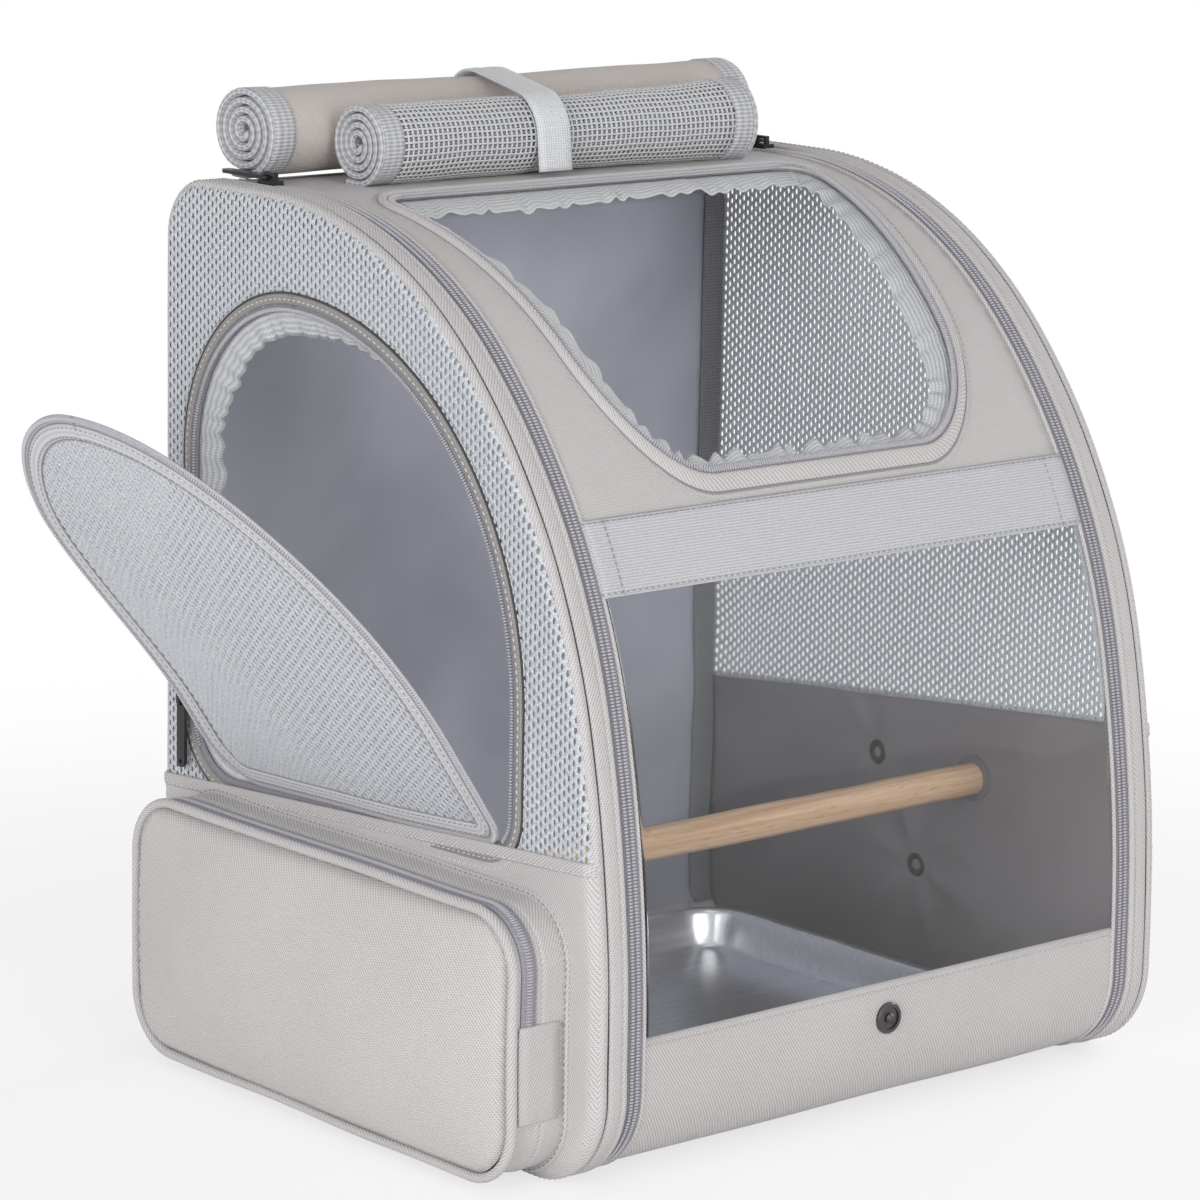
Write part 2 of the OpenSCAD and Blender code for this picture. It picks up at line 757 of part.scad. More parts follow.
// ---- side door, drawn open ----
door_out = door_zip_out;
door_in = door_out - door_t;
net_door_mid = (door_out + door_in) / 2;

module door_place() translate([-door_out, 0, hinge_z])
    rotate(a = -door_open, v = [0, cos(hinge_tilt), -sin(hinge_tilt)])
        translate([door_out, 0, -hinge_z]) children();

module door_mesh() color("#d3d6db") door_place()
    side_plate(-net_door_mid - net_t / 2, -net_door_mid + net_t / 2) difference() {
        polygon(door_outline(-door_gap - door_binding_w));
        net_gaps(door_gaps);
    }

module door_binding() color("#a7a7ae") door_place() side_plate(-door_out, -door_in) difference() {
    polygon(door_outline(-door_gap));
    polygon(door_outline(-door_gap - door_binding_w));
}

// ---- pocket ----
pocket_arcs = [
    [[pocket_back_y - pocket_r, pocket_top_z - pocket_r], pocket_r, 0, 90, 6, 0],
    [[pocket_front_y + pocket_r, pocket_top_z - pocket_r], pocket_r, 90, 180, 6, 0],
    [[pocket_front_y + pocket_r, pocket_low_z + pocket_r], pocket_r, 180, 270, 6, 0],
    [[pocket_back_y - pocket_r, pocket_low_z + pocket_r], pocket_r, 270, 360, 6, 0]];
function pocket_outline(g = 0) = arc_path(pocket_arcs, g);

pocket_face = half_w + pocket_depth;
pocket_mid_y = (pocket_front_y + pocket_back_y) / 2;
pocket_mid_z = (pocket_low_z + pocket_top_z) / 2;
// piping sections are octagons with a flat towards the pocket's front
octagon_r = piping_r / cos(22.5);

module upper_part() translate([-far, pocket_zip_z + gap / 2]) square([2 * far, far]);
module lower_part() translate([-far, pocket_zip_z - gap / 2 - far]) square([2 * far, far]);

module pocket_gusset() color("#c3c0be") side_plate(-pocket_face, -half_w) difference() {
    polygon(pocket_outline());
    polygon(pocket_outline(-pocket_wall));
}

zip_edge = pocket_face - piping_r;
module pocket_zip() color("#9a98a3") side_plate(-zip_edge, -zip_edge + pocket_zip_w) difference() {
    polygon(pocket_outline(pocket_zip_t));
    polygon(pocket_outline());
    translate([-far, pocket_zip_z - far]) square([2 * far, far]);
}

// the front swells like a cushion: a slab cut by two wide cylinders
crown_r_y = (pow((pocket_back_y - pocket_front_y) / 2, 2) + pow(pocket_crown, 2)) / (2 * pocket_crown);
crown_r_z = (pow((pocket_top_z - pocket_low_z) / 2, 2) + pow(pocket_crown, 2)) / (2 * pocket_crown);
crown_x = pocket_face + gap + pocket_front_t;

module swelling(grow) intersection() {
    translate([-crown_x - pocket_crown + crown_r_y - grow, pocket_mid_y, -far])
        cylinder(h = 2 * far, r = crown_r_y, $fn = 240);
    translate([-crown_x - pocket_crown + crown_r_z - grow, -far, pocket_mid_z])
        rotate([-90, 0, 0]) cylinder(h = 2 * far, r = crown_r_z, $fn = 240);
}

module pocket_skin() difference() {
    intersection() {
        side_plate(-pocket_face - gap - far, -pocket_face - gap) intersection() {
            polygon(pocket_outline(-piping_r));
            children();
        }
        swelling(0);
    }
    swelling(-pocket_front_t);
}

module pocket_front() color("#cdcac8") pocket_skin() lower_part();
module pocket_flap() color("#cdcac8") pocket_skin() upper_part();

// piping path cut at the zip's ends: the sides pass the cut between corners
piping_x = pocket_face + gap + piping_r;
function piping_point(s) = [piping_x + octagon_r * sin(22.5 + 45 * s), octagon_r * cos(22.5 + 45 * s)];
function piping_ring(s, low) = let (p = piping_point(s), path = pocket_outline(p[1]), n = len(path) / 2,
    edge = low ? pocket_zip_z - gap / 2 : pocket_zip_z + gap / 2,
    side = low ? part_of(path, n, 2 * n - 1) : part_of(path, 0, n - 1),
    ends = [[side[0][0], edge], [side[n - 1][0], edge]])
    [for (q = concat([ends[0]], side, [ends[1]])) [-p[0], q[0], q[1]]];

module piping(low) loft([for (s = [0 : 7]) piping_ring(s, low)], closed = false);
module pocket_piping() color("#b9b6b6") piping(true);
module pocket_flap_piping() color("#b9b6b6") piping(false);

// ---- zip sliders: a body over the coil, a bridge and a pull that swings under it ----
// drawn on a zip that runs along Y, with the tape's face at z = 0
bridge_h = 2.6;
bridge_w = 2.4;
pin_d = 1.4;
slider_base = coil_rise + gap;
crown_z = slider_base + slider_t;
eye_z = crown_z + bridge_h / 2;
post_y = slider_len / 3;

module slider_body() {
    difference() {
        translate([-slider_w / 2, -slider_len / 2, gap]) cube([slider_w, slider_len, crown_z - gap]);
        translate([-coil_w / 2 - gap, -slider_len, 0])
            cube([coil_w + 2 * gap, 2 * slider_len, slider_base]);
    }
    for (end = [-1, 1]) translate([-bridge_w / 2, end * post_y - pin_d / 2, crown_z])
        cube([bridge_w, pin_d, bridge_h]);
    translate([-bridge_w / 2, -post_y - pin_d / 2, crown_z + bridge_h])
        cube([bridge_w, 2 * post_y + pin_d, pin_d]);
}

// the plate starts beyond the reach of the bridge's corners
arm_w = pull_w / 2 - bridge_w / 2 - gap;
plate_y = norm([post_y + pin_d / 2, bridge_h / 2 + pin_d]) + gap;
module slider_pull() {
    bar(-pull_w / 2, pull_w / 2, 0, eye_z, pin_d);
    for (side = [-1, 1]) translate([side * (pull_w - arm_w) / 2 - arm_w / 2, 0, eye_z - pin_d / 2])
        cube([arm_w, plate_y, pin_d]);
    translate([0, 0, eye_z - pull_t / 2]) linear_extrude(pull_t) difference() {
        union() {
            translate([-pull_w / 2, plate_y]) square([pull_w, pull_len - pull_w / 2 - plate_y]);
            translate([0, pull_len - pull_w / 2]) circle(d = pull_w, $fn = 32);
        }
        translate([0, pull_len - pull_w / 2]) circle(d = pull_w / 3, $fn = 24);
    }
}

// the side door's slider runs up the back edge of its opening
door_slider_y = door_back_y + door_zip_w / 2;
module on_side_door() translate([-door_zip_out, door_slider_y, door_slider_z])
    rotate([90, 0, -90]) children();
module door_slider() color("#1e1e20") on_side_door() slider_body();
module door_pull() color("#1e1e20") on_side_door() rotate(180) slider_pull();

// the pocket's slider runs up its back side
pocket_slider_x = zip_edge - pocket_zip_w / 2;
module on_pocket() translate([-pocket_slider_x, pocket_back_y + pocket_zip_t, pocket_slider_z])
    rotate([90, 0, 180]) children();
module pocket_slider() color("#1e1e20") on_pocket() slider_body();
module pocket_pull() color("#1e1e20") on_pocket() rotate(180) slider_pull();

module on_right_arch() translate([zip_mid, arch_slider_y, bag_h - zip_sink]) children();
module right_arch_slider() color("#1e1e20") on_right_arch() slider_body();
module right_arch_pull() color("#1e1e20") on_right_arch() slider_pull();
module left_arch_slider() other_side() right_arch_slider();
module left_arch_pull() other_side() right_arch_pull();

// ---- perch, its screws and the spare eyelets ----
perch_end = lining_in - washer_t;

module both_sides() {
    children();
    other_side() children();
}

module perch() color("#c3a183") difference() {
    bar(-perch_end, perch_end, perch_y, perch_z, perch_d);
    both_sides() bar(perch_end - screw_grip, perch_end + 1, perch_y, perch_z, screw_d);
}

module perch_washers() color("#2a2a2c") both_sides() difference() {
    bar(perch_end, lining_in, perch_y, perch_z, washer_d);
    bar(perch_end - 1, lining_in + 1, perch_y, perch_z, screw_d);
}

drive_w = 1.2;
module perch_screws() color("#2a2a2c") both_sides() difference() {
    union() {
        bar(perch_end - screw_grip, half_w, perch_y, perch_z, screw_d);
        bar(half_w, half_w + screw_head_h, perch_y, perch_z, screw_head_d);
    }
    for (turn = [0, 90]) translate([half_w + screw_head_h / 2, perch_y, perch_z]) rotate([turn, 0, 0])
        translate([0, -screw_head_d / 4, -drive_w / 2])
            cube([screw_head_h, screw_head_d / 2, drive_w]);
}

eyelet_len = half_w - lining_in;
module right_eyelets() color("#2a2a2c") for (h = spare_holes) translate([lining_in, h[0], h[1]])
    rotate([0, 90, 0]) rotate_extrude($fn = 48) polygon([
        [eyelet_bore / 2, -eyelet_t], [eyelet_d / 2, -eyelet_t], [eyelet_d / 2, 0], [barrel_d / 2, 0],
        [barrel_d / 2, eyelet_len], [eyelet_d / 2, eyelet_len],
        [eyelet_d / 2, eyelet_len + eyelet_t], [eyelet_bore / 2, eyelet_len + eyelet_t]]);
module left_eyelets() other_side() right_eyelets();

// ---- tray ----
tray_z = shell_t + board_t + gap;
function tray_ring(g, z) = [for (p = rounded([
    [tray_w / 2 + g, tray_d / 2 + g], [-tray_w / 2 - g, tray_d / 2 + g],
    [-tray_w / 2 - g, -tray_d / 2 - g], [tray_w / 2 + g, -tray_d / 2 - g]],
    [for (i = [0 : 3]) tray_r + g])) [p[0], p[1] + tray_y, tray_z + z]];
tray_foot = 2;

module tray() color("#c8cacc") stack([
    tray_ring(-tray_rim - tray_flare - tray_foot, 0), tray_ring(-tray_rim - tray_flare, tray_foot),
    tray_ring(-tray_rim, tray_h - tray_t), tray_ring(0, tray_h - tray_t), tray_ring(0, tray_h),
    tray_ring(-tray_rim - tray_t, tray_h), tray_ring(-tray_rim - tray_flare - tray_t, tray_foot + tray_t),
    tray_ring(-tray_rim - tray_flare - tray_foot - tray_t, tray_t)]);

// ---- shoulder straps and handle on the back ----
// an even band along a path in a plane
function side_dir(path, i) = let (n = len(path), a = path[max(i - 1, 0)], b = path[min(i + 1, n - 1)],
    d = unit(b - a)) [-d[1], d[0]];
function band(path, t) = concat(
    [for (i = [0 : len(path) - 1]) path[i] + side_dir(path, i) * t / 2],
    [for (i = [len(path) - 1 : -1 : 0]) path[i] - side_dir(path, i) * t / 2]);

// a smooth swell from 0 to 1 and back
function swell(s) = (1 - cos(360 * s)) / 2;
bow_steps = 16;
// straight stretch at each end of a pad, sewn flat on the back
pad_foot = 6;
bow_h = pad_top_z - pad_low_z - 2 * pad_foot;

module right_shoulder_pad() color("#b9b6b4") side_plate(pad_x - pad_w / 2, pad_x + pad_w / 2)
    polygon(band(concat([[half_d + pad_t / 2, pad_top_z]],
        [for (i = [0 : bow_steps]) let (s = i / bow_steps)
            [half_d + pad_t / 2 + pad_bow * swell(s), pad_top_z - pad_foot - bow_h * s]],
        [[half_d + pad_t / 2, pad_low_z]]), pad_t));
module left_shoulder_pad() other_side() right_shoulder_pad();

slot_h = adjuster_h / 5;
module right_adjuster() color("#2a2a2c")
    translate([pad_x, half_d + (pad_t + adjuster_t) / 2, pad_low_z - adjuster_h]) rotate([90, 0, 0])
        linear_extrude(adjuster_t) difference() {
            polygon(rounded([[adjuster_w / 2, adjuster_h], [-adjuster_w / 2, adjuster_h],
                [-adjuster_w / 2, 0], [adjuster_w / 2, 0]], [slot_h / 2, slot_h / 2, slot_h / 2, slot_h / 2]));
            for (k = [1, 3]) translate([-webbing_w / 2 - gap, k * slot_h])
                square([webbing_w + 2 * gap, slot_h]);
        }
module left_adjuster() other_side() right_adjuster();

// the webbing leaves the adjuster and lies down flat on the back
webbing_top = pad_low_z - adjuster_h;
webbing_fall = 50;
module right_webbing() color("#bfc0c4") side_plate(pad_x - webbing_w / 2, pad_x + webbing_w / 2)
    polygon(band(concat([[half_d + pad_t / 2, webbing_top]],
        [for (i = [0 : 8]) [half_d + webbing_t / 2 + (pad_t - webbing_t) / 2 * (1 + cos(180 * i / 8)) / 2,
            anchor_z + webbing_fall - webbing_fall / 2 * i / 8]],
        [[half_d + webbing_t / 2, anchor_z]]), webbing_t));
module left_webbing() other_side() right_webbing();

handle_foot = 14;
module grab_handle() color("#bfc0c4") translate([0, 0, handle_z - handle_w / 2])
    linear_extrude(handle_w) polygon(band(concat([[-handle_len / 2, half_d + handle_t / 2]],
        [for (i = [0 : bow_steps]) let (s = i / bow_steps)
            [(handle_len / 2 - handle_foot) * (2 * s - 1),
            half_d + handle_t / 2 + (handle_reach - handle_t) * swell(s)]],
        [[handle_len / 2, half_d + handle_t / 2]]), handle_t));

base_panel();
base_board();
back_panel();
back_lining();
corner_tapes();
left_arch_frame();
right_arch_frame();
left_arch_zip();
right_arch_zip();
left_side_mesh();
right_side_mesh();
left_side_fabric();
right_side_fabric();
left_side_lining();
right_side_lining();
side_opening_zip();
side_opening_elastic();
top_panel();
top_opening_zip();
top_opening_elastic();
front_band();
front_window();
front_lower_panel();
snap_stud();
cover_roll();
mesh_roll();
roll_strap();
pocket_gusset();
pocket_zip();
pocket_front();
pocket_piping();
pocket_flap();
pocket_flap_piping();
pocket_slider();
pocket_pull();
door_mesh();
door_binding();
door_slider();
door_pull();
left_arch_slider();
left_arch_pull();
right_arch_slider();
right_arch_pull();
perch();
perch_washers();
perch_screws();
left_eyelets();
right_eyelets();
tray();
left_shoulder_pad();
right_shoulder_pad();
left_adjuster();
right_adjuster();
left_webbing();
right_webbing();
grab_handle();
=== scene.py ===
# Backpack carrier for a small bird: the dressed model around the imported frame.
# Metres. X runs across the bag, -Y is its front, Z is up.
import math
import bmesh
import bpy
import numpy as np
from mathutils import Vector, Matrix, noise
from mathutils.geometry import delaunay_2d_cdt


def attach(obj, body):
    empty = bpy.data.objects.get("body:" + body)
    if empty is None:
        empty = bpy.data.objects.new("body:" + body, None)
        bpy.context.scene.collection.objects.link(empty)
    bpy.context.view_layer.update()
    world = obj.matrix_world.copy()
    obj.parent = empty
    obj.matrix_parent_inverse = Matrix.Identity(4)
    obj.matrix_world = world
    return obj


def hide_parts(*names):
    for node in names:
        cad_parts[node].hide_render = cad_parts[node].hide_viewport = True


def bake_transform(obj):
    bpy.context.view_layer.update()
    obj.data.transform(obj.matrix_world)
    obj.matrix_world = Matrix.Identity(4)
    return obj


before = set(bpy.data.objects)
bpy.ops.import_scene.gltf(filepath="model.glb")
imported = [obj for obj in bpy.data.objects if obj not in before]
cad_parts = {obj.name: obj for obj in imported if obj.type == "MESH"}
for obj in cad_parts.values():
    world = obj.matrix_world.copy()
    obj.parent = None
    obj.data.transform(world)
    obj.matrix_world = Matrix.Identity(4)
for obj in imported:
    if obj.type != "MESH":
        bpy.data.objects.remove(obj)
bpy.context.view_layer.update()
scene = bpy.context.scene
root = "carrier"
fullTurn = 2 * math.pi


def heading(angle):
    return np.array([-math.sin(math.radians(angle)), math.cos(math.radians(angle))])


def runAlong(points):
    # the distance from a line's start at each of its points
    return np.concatenate([[0], np.cumsum(np.linalg.norm(np.diff(points, axis=0), axis=1))])


def unit(vectors):
    return vectors / np.linalg.norm(vectors, axis=-1, keepdims=True)


# the arch profile, in depth (y) and height (z)
bag = {"halfDepth": 0.162, "height": 0.420, "bendOne": 0.210, "bendTwo": 0.310, "endOne": 45, "endTwo": 78,
       "frontStraight": 0.020, "frontCorner": 0.045, "backCorner": 0.020, "backTop": 0.028, "step": 0.001}


def archProfile():
    # points, outward normals and run, from the back top corner round to the back
    h, d, one, two = bag["height"], bag["halfDepth"], bag["bendOne"], bag["bendTwo"]
    (sinOne, cosOne), (sinTwo, cosTwo) = [np.abs(heading(bag[end])) for end in ("endOne", "endTwo")]
    three = (h - one * (1 - cosOne) - two * (cosOne - cosTwo) - bag["frontStraight"]
             - bag["frontCorner"]) / cosTwo
    flatY = -d + one * sinOne + two * (sinTwo - sinOne) + three * (1 - sinTwo)
    centreOne = np.array([flatY, h - one])
    centreTwo = centreOne + (one - two) * heading(bag["endOne"])
    centreThree = centreTwo + (two - three) * heading(bag["endTwo"])
    arcs = [((d - bag["backTop"], h - bag["backTop"]), bag["backTop"], 0, 90),
            (centreOne, one, 90, 90 + bag["endOne"]),
            (centreTwo, two, 90 + bag["endOne"], 90 + bag["endTwo"]),
            (centreThree, three, 90 + bag["endTwo"], 180),
            ((-d + bag["frontCorner"], bag["frontCorner"]), bag["frontCorner"], 180, 270),
            ((d - bag["backCorner"], bag["backCorner"]), bag["backCorner"], 270, 360)]
    points, normals = [], []
    for centre, radius, first, last in arcs:
        steps = max(4, int(radius * math.radians(last - first) / bag["step"]))
        for i in range(steps + 1):
            turn = math.radians(first + (last - first) * i / steps)
            normals.append(np.array([math.cos(turn), math.sin(turn)]))
            points.append(np.array(centre) + radius * normals[-1])
    points.append(points[0])
    normals.append(normals[0])
    dense, denseNormals = [points[0]], [normals[0]]
    for a, b, na, nb in zip(points, points[1:], normals, normals[1:]):
        count = int(np.linalg.norm(b - a) / bag["step"]) + 1
        for i in range(1, count + 1):
            dense.append(a + (b - a) * i / count)
            denseNormals.append(na + (nb - na) * i / count)
    dense, denseNormals = np.array(dense), np.array(denseNormals)
    keep = np.concatenate([[True], np.linalg.norm(np.diff(dense, axis=0), axis=1) > 1e-7])
    return dense[keep], denseNormals[keep], runAlong(dense[keep])


archPoints, archNormals, archRun = archProfile()
archLength = archRun[-1]
topIndex = int(np.argmax(archPoints[:, 1] > bag["height"] - 1e-6))
lowIndex = int(np.argmin(archPoints[:, 1]))
archFront = slice(topIndex, lowIndex + 1)


def archOut(run):
    # the outward direction (depth, height) at a run along the arch
    run = np.mod(np.asarray(run, float), archLength)
    out = [np.interp(run, archRun, archNormals[:, k]) for k in (0, 1)]
    return out / np.hypot(*out)


def onArch(run, inset):
    # depth and height at a run along the arch, inset below its outer face
    outY, outZ = archOut(run)
    run = np.mod(np.asarray(run, float), archLength)
    y, z = (np.interp(run, archRun, archPoints[:, k]) for k in (0, 1))
    return y - np.asarray(inset) * outY, z - np.asarray(inset) * outZ


def archSpots(x, run, inset):
    # points at x, inset below the arch at a run, and the outward direction at each
    y, z = onArch(run, inset)
    return np.stack([x + 0 * y, y, z], axis=-1), np.stack([0 * y, *archOut(run)], axis=-1)


def archRings(section, runs, side):
    # rings of a section of (x, inset) in millimetres at runs along the arch
    x, inset = np.array(section, float).T / 1000
    return archSpots(side * x, np.asarray(runs)[:, None] + 0 * x, inset)[0]


def runAtHeight(z):
    # run of the front face at a height
    return float(np.interp(-z, -archPoints[archFront, 1], archRun[archFront]))


def runAtDepth(y):
    # run of the top face at a depth
    last = int(np.argmin(archPoints[archFront, 0])) + 1
    return np.interp(-np.asarray(y, float), -archPoints[archFront, 0][:last], archRun[archFront][:last])


# colours and materials
def linear(hexColour):
    # an sRGB hex value as linear red, green, blue, alpha
    parts = [int(hexColour[i:i + 2], 16) / 255 for i in (1, 3, 5)]
    return tuple(c / 12.92 if c <= 0.04045 else ((c + 0.055) / 1.055) ** 2.4 for c in parts) + (1.0,)


def addNode(tree, kind, settings=None, inputs=None):
    # a node with its settings; each input gets a value or a link
    node = tree.nodes.new(kind)
    for key, value in (settings or {}).items():
        setattr(node, key, value)
    for key, value in (inputs or {}).items():
        if isinstance(value, bpy.types.NodeSocket):
            tree.links.new(value, node.inputs[key])
        else:
            node.inputs[key].default_value = value
    return node


def newFinish(name, colour, roughness, **extra):
    # a Principled material, its tree and its shader
    material = bpy.data.materials.new(name)
    material.use_nodes = True
    tree = material.node_tree
    shader = tree.nodes["Principled BSDF"]
    for key, value in {"Base Color": linear(colour), "Roughness": roughness, **extra}.items():
        shader.inputs[key.replace("_", " ")].default_value = value
    material.diffuse_color = linear(colour)
    return material, tree, shader


def coordinates(tree, turn=0.0, stretch=None):
    # the piece's own map in metres, turned by an angle, or its solid place where a stretch is given
    source = addNode(tree, "ShaderNodeTexCoord").outputs["Object" if stretch else "UV"]
    return addNode(tree, "ShaderNodeMapping", inputs={
        "Rotation": (0, 0, math.radians(turn)), "Scale": stretch or (1, 1, 1),
        "Vector": source}).outputs["Vector"]


def shadeAndRaise(tree, shader, tone, dark, light, spread, height, distance, strength):
    # the colour runs from dark to light with a tone, and the height is a bump of a real depth
    if tone:
        ramp = addNode(tree, "ShaderNodeValToRGB", inputs={"Fac": tone})
        for stop, place, colour in zip(ramp.color_ramp.elements, spread, (dark, light)):
            stop.position, stop.color = place, linear(colour)
        tree.links.new(ramp.outputs["Color"], shader.inputs["Base Color"])
    bump = addNode(tree, "ShaderNodeBump", inputs={
        "Strength": strength, "Distance": distance, "Height": height})
    tree.links.new(bump.outputs["Normal"], shader.inputs["Normal"])


# woven polyester, 600 denier: a fine slanting rib, dull, with a faint sheen at grazing angles.
# The real rib is 0.6 mm apart; it is drawn at 1.4 mm so that it shows.
oxford = {"roughness": 0.82, "sheen": 0.12, "turns": (34, 0), "wobbles": (0.5, 0.0), "crossShare": 0.35,
          "speckle": {"Scale": 14.0, "Detail": 4.0}, "speckleShare": 0.25, "spread": (0.1, 0.75),
          "strength": 0.6}
# narrow woven polyester or nylon: ribs along its length with a fine cross thread
ribbed = {"roughness": 0.7, "sheen": 0.1, "turns": (0, 0), "wobbles": (0.25, 0.3), "crossShare": 0.4,
          "speckle": {"Scale": 700.0}, "speckleShare": 0.4, "spread": (0.2, 0.7), "strength": 0.8}


def woven(name, dark, light, cloth=oxford, pitches=(0.0014, 0.0011), depth=0.0005, turn=0.0):
    # two sets of thread lines a real pitch apart, with an uneven tone over them
    material, tree, shader = newFinish(name, light, cloth["roughness"], Sheen_Weight=cloth["sheen"])
    lines = [addNode(tree, "ShaderNodeTexWave", {"bands_direction": direction}, {
        "Scale": 0.31416 / pitch, "Distortion": wobble, "Detail": 1.0,
        "Vector": coordinates(tree, slant + turn)}).outputs["Fac"]
        for direction, pitch, wobble, slant in zip("XY", pitches, cloth["wobbles"], cloth["turns"])]
    speckle = addNode(tree, "ShaderNodeTexNoise", inputs={**cloth["speckle"], "Vector": coordinates(tree)})
    weave = addNode(tree, "ShaderNodeMix", inputs={0: cloth["crossShare"], 2: lines[0], 3: lines[1]}).outputs[0]
    tone = addNode(tree, "ShaderNodeMix", inputs={
        0: cloth["speckleShare"], 2: weave, 3: speckle.outputs["Fac"]})
    shadeAndRaise(tree, shader, tone.outputs[0], dark, light, cloth["spread"], weave, depth, cloth["strength"])
    return material


def tape(name, dark, light, ribPitch, crossPitch, depth=0.0003):
    return woven(name, dark, light, ribbed, (ribPitch, crossPitch), depth)


def grained(name, light, roughness, relief, distance, strength, dark=None, spread=None, tone=None, stretch=None,
            **extra):
    # a relief noise, and a tone noise that runs from dark to light; the tone follows the relief unless given
    material, tree, shader = newFinish(name, light, roughness, **extra)
    fields = [addNode(tree, "ShaderNodeTexNoise", inputs={
        **settings, "Vector": coordinates(tree, stretch=stretch)}).outputs["Fac"]
        for settings in (relief, tone) if settings]
    shadeAndRaise(tree, shader, fields[-1] if dark else None, dark, light, spread, fields[0], distance,
                  strength)
    return material


def nylonSatin(name, dark, light):
    # coated nylon lining: smooth and close woven, with a soft satin gloss and cloudy shine
    return grained(name, light, 0.36, {"Scale": 26.0, "Distortion": 0.8}, 0.0030, 0.35, dark, (0.3, 0.7),
                   {"Scale": 7.0, "Detail": 3.0, "Distortion": 0.4}, Sheen_Weight=0.05)


def plainThread(name, colour, roughness=0.55):
    # spun polyester sewing thread: dull, a little lighter than the cloth
    return grained(name, colour, roughness, {"Scale": 1500.0}, 0.0001, 0.4, stretch=(1, 1, 1), Sheen_Weight=0.1)


def enamelled(name, colour, roughness, metallic=0.0):
    # die-cast zinc with baked enamel: smooth, dark, a soft highlight, slightly uneven
    return grained(name, colour, roughness, {"Scale": 420.0}, 0.0001, 0.25, stretch=(1, 1, 1),
                   Metallic=metallic, Coat_Weight=0.15)


def clearVinyl(name):
    # calendered clear PVC sheet: glass clear with a slight haze, glossy, faintly wavy
    material = grained(name, "#f7f9fa", 0.03, {"Scale": 18.0, "Detail": 1.0}, 0.002, 0.07,
                       Transmission_Weight=1.0, IOR=1.33)
    # light reaches what lies behind the sheet, as it does through a real thin film
    tree = material.node_tree
    paths = addNode(tree, "ShaderNodeLightPath").outputs
    soft = addNode(tree, "ShaderNodeMath", {"operation": "MAXIMUM"}, {
        0: paths["Is Shadow Ray"], 1: paths["Is Diffuse Ray"]})
    through = addNode(tree, "ShaderNodeBsdfTransparent")
    blend = addNode(tree, "ShaderNodeMixShader", inputs={
        0: soft.outputs[0], 1: tree.nodes["Principled BSDF"].outputs[0], 2: through.outputs[0]})
    tree.links.new(blend.outputs[0], tree.nodes["Material Output"].inputs["Surface"])
    return material


def sandedBeech(name):
    # turned beech dowel: pale pinkish wood, fine long grain with short dark flecks
    material, tree, shader = newFinish(name, "#eccaa9", 0.55)
    grain, flecks = [addNode(tree, "ShaderNodeTexNoise", inputs={
        "Scale": 1.0, "Detail": detail, "Vector": coordinates(tree, stretch=stretch)}).outputs["Fac"]
        for detail, stretch in ((6.0, (9, 420, 420)), (1.0, (120, 1400, 1400)))]
    dark = addNode(tree, "ShaderNodeMath", {"operation": "GREATER_THAN"}, {0: flecks, 1: 0.64}).outputs[0]
    tone = addNode(tree, "ShaderNodeMath", {"operation": "MULTIPLY_ADD"},
                   {0: dark, 1: -0.2, 2: grain}).outputs[0]
    shadeAndRaise(tree, shader, tone, "#c39a77", "#eccaa9", (0.25, 0.7), grain, 0.0002, 0.3)
    return material


twill = woven("polyesterTwill", "#a39f9f", "#d3cfcf")
twillPale = woven("polyesterTwillPocket", "#a9a6a5", "#d3d0cf", turn=8)
coverCloth = woven("coverCloth", "#b5ada9", "#cfc6c1")
padCloth = woven("padCloth", "#b3b0ae", "#c8c5c3", turn=15)
# knitted polyester net: dull round yarns, slightly glossy on top and thin enough for light to come through
net = grained("warpKnitNet", "#ccd0d5", 0.62, {"Scale": 900.0}, 0.00015, 0.3, "#a9acb2", (0.35, 0.6),
              Sheen_Weight=0.10, Subsurface_Weight=0.25, Subsurface_Radius=(1, 1, 1), Subsurface_Scale=0.0015)
satinGrey = nylonSatin("nylonSatinGrey", "#a3a5b1", "#c4c6d1")
# the right side's lining, seen through the window: the same satin painted darker, painted shade of the bag's
# inside
satinPaintedShade = nylonSatin("nylonSatinPaintedShade", "#716c6e", "#918c8e")
darkTape = tape("heatherBinding", "#5e5f63", "#8b8c90", 0.0012, 0.0016)
zipTape = tape("zipTape", "#86848f", "#a9a7b2", 0.0010, 0.0014)
zipTapeDark = tape("zipTapeDark", "#77757d", "#95939b", 0.0010, 0.0014)
zipTapePale = tape("zipTapePale", "#a5a4a9", "#c0bfc4", 0.0010, 0.0014)
grosgrain = tape("grosgrain", "#b4b3b7", "#d2d1d5", 0.0030, 0.0014, 0.0004)
taupeTape = tape("taupeBinding", "#7d7a78", "#9f9c9a", 0.0011, 0.0015)
foldedTape = tape("foldedBinding", "#96979c", "#cdced2", 0.0019, 0.0040, 0.0006)
webbing = tape("nylonWebbing", "#a3a3a8", "#cfcfd4", 0.0014, 0.0011)
strapTape = tape("strapTape", "#bcbfc2", "#e0e2e4", 0.0015, 0.0012)
elasticTape = tape("knitElastic", "#a6a8ab", "#d2d4d6", 0.0022, 0.0013, 0.0006)
coilNylon = plainThread("nylonCoil", "#bbb9c0", 0.4)
threadLight = plainThread("threadLight", "#d4d4d6")
threadDark = plainThread("threadDark", "#8d8b8c")
threadCloth = plainThread("threadCloth", "#bab6b6")
# near black: painted shade, laid in the seam grooves of the borders and of the side opening
seamShadeBlack = plainThread("seamShadeBlack", "#3b3a3d", 0.7)
screenYarn = plainThread("screenYarn", "#c9cacc", 0.6)
vinyl = clearVinyl("clearVinyl")
beech = sandedBeech("sandedBeech")
